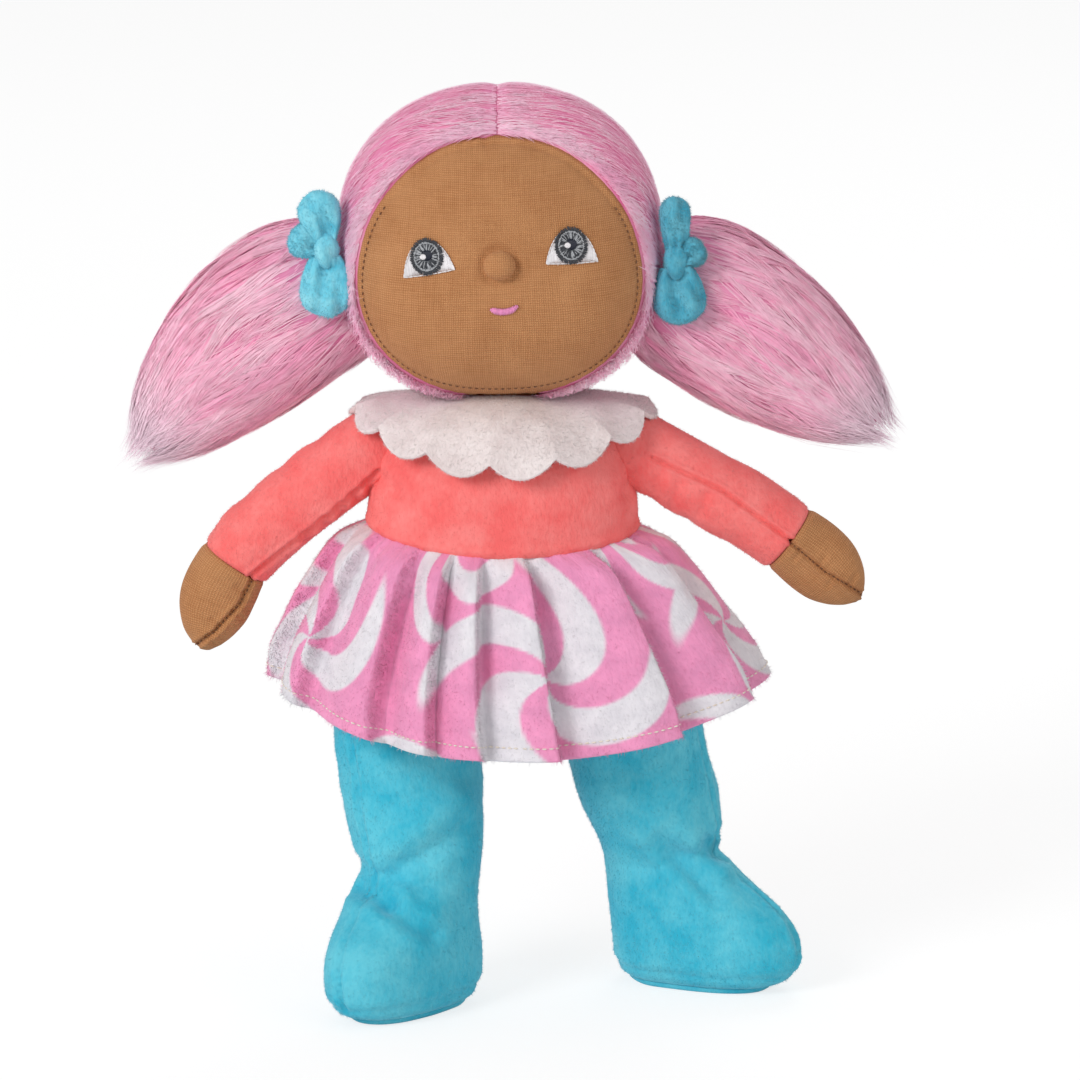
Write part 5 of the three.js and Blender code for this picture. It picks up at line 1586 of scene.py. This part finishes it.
# What the stuffing and sewing add to the outline: cloudy swelling, seams in front and behind with a ridge on
# both sides, folds over the ankle and the edge of the sole.
def legSwell(side, z, turn):
    spot = around(turn, 27, 27, z)
    swell = 0.9 * cloudy(spot, 19, 141 + side) + 0.35 * cloudy(spot, 7, 143 + side)
    angle = (np.degrees(turn) + 180) % 360 - 180
    line = leg["seamTurn"][side] * soft(z, 15, 50)
    ridges = hill(angle, line + 6, 3.5) + hill(angle, line - 6, 3.5)
    seams = hill(angle, line, 2.4) - 0.3 * ridges + hill(np.abs(angle), 180, 3)
    seam = -2.0 * seams * soft(z, 4, 10) * (1 - soft(z, 128, 140)) * (0.85 + 0.15 * np.sin(z * 2.2))
    frontSide = hill(angle, 0, 75)
    fold = z - leg["ankleZ"] - 3
    crease = 0.9 * frontSide * hill(fold + 9, 0, 5) - 2.1 * frontSide * hill(fold + 0.05 * angle, 0, 3.2)
    crease = crease - 1.2 * hill(angle, 40, 40) * hill(fold - 9 + 0.12 * angle, 0, 3)
    crease = crease - 1.1 * hill(angle, -55, 40) * hill(fold - 5 - 0.1 * angle, 0, 3.4)
    gathers = 0.75 + 0.25 * np.sin(np.radians(angle) * 40)
    edge = 0.5 * hill(z, leg["base"] + 8.5, 2.2) - 0.7 * hill(z, leg["base"] + 5, 1.1) * gathers
    return swell + seam + crease + edge


# Rings of the leg: ovals with their own front and back, squarer in the foot, turned out with the toes.
def legGrid(side):
    turn = ringTurns(leg["columns"])
    z, half, front, back = legRows()
    grow = legSwell(side, z, turn)
    power = mix(2.2, 2.0, soft(z, 40, 60))
    c, s = np.cos(turn), np.sin(turn)
    forward = np.sign(c) * np.abs(c) ** (2 / power) * (np.where(c > 0, front, back) + grow)
    sideways = np.sign(s) * np.abs(s) ** (2 / power) * (half + grow)
    toe = np.radians(leg["toeOut"][side])
    ahead = np.array([side * math.sin(toe), -math.cos(toe)])
    across = np.array([-ahead[1], ahead[0]])
    flat = legAxis(side, z[:, 0])[:, None] + forward[..., None] * ahead + sideways[..., None] * across
    plain = atHeight(flat, z)
    wrinkles = [(path, leg["wrinkle"] * depth, wide) for path, depth, wide in leg["creases"][side]]
    grid = creased(plain, outwards(plain), wrinkles)
    grid[:3] = plain[:3]
    return grid


def shrunk(ring, shares, heights):  # rings inside a ring, at given heights
    middle = ring.mean(1, keepdims=True)
    rings = np.concatenate([mix(middle, ring, share) for share in shares])
    rings[..., 2] = np.broadcast_to(heights, len(shares))[:, None]
    return rings


# The leg's skin is shut by rings under the foot; the sole is a flat cushion below them.
def buildLeg(side, word):
    name, body = "leg" + word.capitalize(), word + "_limb"
    grid = legGrid(side)
    base = grid[:1]
    grid = np.concatenate([shrunk(base, leg["under"], leg["base"]), grid])
    piece = makePiece(name, *closedTube(grid), blueMat)
    settle(piece, body, (word + "_leg",))
    weight = np.ones(grid.shape[:2])
    weight[: len(leg["under"]) + 1] = 0
    tones = (*leg["napTones"], 17, 147)
    seeds = (145 + side, 149 + side)
    fibre = coat(name, grid, outwards(grid), leg["pileCount"], seeds, leg["nap"], tones, weight=weight)
    settle(fibre, body)
    sole = shrunk(base, *np.array(leg["sole"]).T)
    piece = makePiece(name + "Sole", *closedTube(sole), blueMat)
    settle(piece, body, (word + "_sole",))


for side, word in sides:
    buildLeg(side, word)
print("legs stuffed")

# Bows: a twisted knot and three soft loops on the front of each bunch, pinched at the knot and folded.
# A loop has its angle, length, half width and half thickness; folds are drawn in the front view.
bows = {
    "knotHalf": (4.8, 6, 7), "grip": 2, "puff": 0.1, "gather": 0.9, "groove": 1.7, "fade": 0.8,
    # The pile on the doll's left bow is darkened by this share, as painted shade.
    "shape": [(0, .58), (.15, .76), (.35, .94), (.6, 1.05), (1, 1.1)], "shade": {1: 0.68, -1: 1.0},
    "knotPile": 900, "loopPile": 2600, "nap": {"length": 1.1, "thick": 0.19, "lean": (0, 0, -0.3)},
    "napTones": (paint(96, 200, 224), paint(148, 222, 237)),
    1: {
        "knot": (64.8, -21, -4.5),
        "loops": {"upper": (91, 22.5, 5.3, 4.6), "side": (30, 10, 5.4, 4.2), "lower": (-84, 21.5, 9.8, 6.4)},
        "folds": [
            ([(66, 288), (67.5, 300)], 1.2, 2.0), ([(64, 271), (66, 258)], 1.7, 2.4),
            ([(68, 270), (75, 263)], 1.3, 2.2),
        ],
    },
    -1: {
        "knot": (66, -22, 0),
        "loops": {"upper": (82, 20.5, 7.4, 5.2), "side": (24, 12.5, 6.2, 4.2), "lower": (-91, 23, 9.6, 5.8)},
        "folds": [
            ([(-72, 297), (-65, 287)], 1.8, 2.6), ([(-66, 273), (-68.5, 258)], 1.6, 2.3),
            ([(-62.5, 273), (-60, 257)], 1.3, 2.0),
        ],
    },
}


# One part of a bow: its closed skin and the coat of pile on it.
def bowPiece(side, word, name, part, grid, count, seed):
    body = word + "_bunch"
    piece = makePiece(name, *closedTube(grid), bowMat[side])
    settle(piece, body, (f"{word}_bow_{part}",))
    # The pile's tones are darkened on the doll's left bow as painted shade.
    tones = (*(tone * bows["shade"][side] for tone in bows["napTones"]), 7, seed)
    fibre = coat(name, grid, outwards(grid), count, (seed, seed + 1), bows["nap"], tones)
    settle(fibre, body)


# A loop swells from the knot to a round end; gathers and one groove run out of the knot and fade.
def bowLoop(side, number, knot, angle, length, half, thick):
    turn = ringTurns(60)
    t = np.concatenate([np.linspace(0, 0.9, 44), np.linspace(0.91, 1.0, 12)])
    way = np.array([side * math.cos(math.radians(angle)), 0, math.sin(math.radians(angle))])
    tip = min(0.55, 1.15 * half / length)
    roundEnd = np.sqrt(np.maximum(1 - (np.maximum(t - 1 + tip, 0) / tip) ** 2.3, 0.012))
    swell = (through(bows["shape"], t) * roundEnd)[:, None]
    middle = knot + (bows["grip"] + t * length)[:, None] * way
    gather = 0.5 - 0.5 * np.cos(7 * turn + 1.7 * number + side)
    groove = hill(np.degrees(turn) % 360, 264, 17)
    grow = -(bows["gather"] * gather + bows["groove"] * groove) * soft(t, bows["fade"], 0.05)[:, None]
    grow = grow + 0.18 * cloudy(around(turn, 8, 8, t[:, None] * length), 7, 165 + number)
    turns = np.broadcast_to(turn, grow.shape)
    puffs = bows["puff"] * np.cos(5.5 * np.cos(turns) + 1.3 * number + side) * soft(t, 0.05, 0.3)[:, None]
    ways = np.repeat(way[None], len(t), 0)
    grid = ringsAlong(middle, ways, half * swell + grow, thick * swell * (1 + puffs) + grow, turns)
    return creased(grid, outwards(grid), bows[side]["folds"])


# The knot is a ball with three twisted ridges; the loops start inside it.
def buildBow(side, word):
    name = "bow" + word.capitalize()
    out, forward, up = bows[side]["knot"]
    knot = np.array([side * out, forward, headMiddle[2] + up], float)
    turn = ringTurns(60)
    lat = np.linspace(-math.pi / 2 + 0.06, math.pi / 2 - 0.06, 30)[:, None]
    ring = np.cos(lat) * (1 + 0.1 * np.cos(turn * 3 + 2.4 * lat))
    grid = knot + around(turn, ring, ring, np.sin(lat)) * np.array(bows["knotHalf"])
    bowPiece(side, word, name + "Knot", "knot", grid, bows["knotPile"], 160 + side)
    for number, (part, loop) in enumerate(bows[side]["loops"].items()):
        grid = bowLoop(side, number, knot, *loop)
        seed = 170 + 3 * number + side
        bowPiece(side, word, name + part.capitalize(), part + "_loop", grid, bows["loopPile"], seed)


for side, word in sides:
    buildBow(side, word)
print("bows tied")
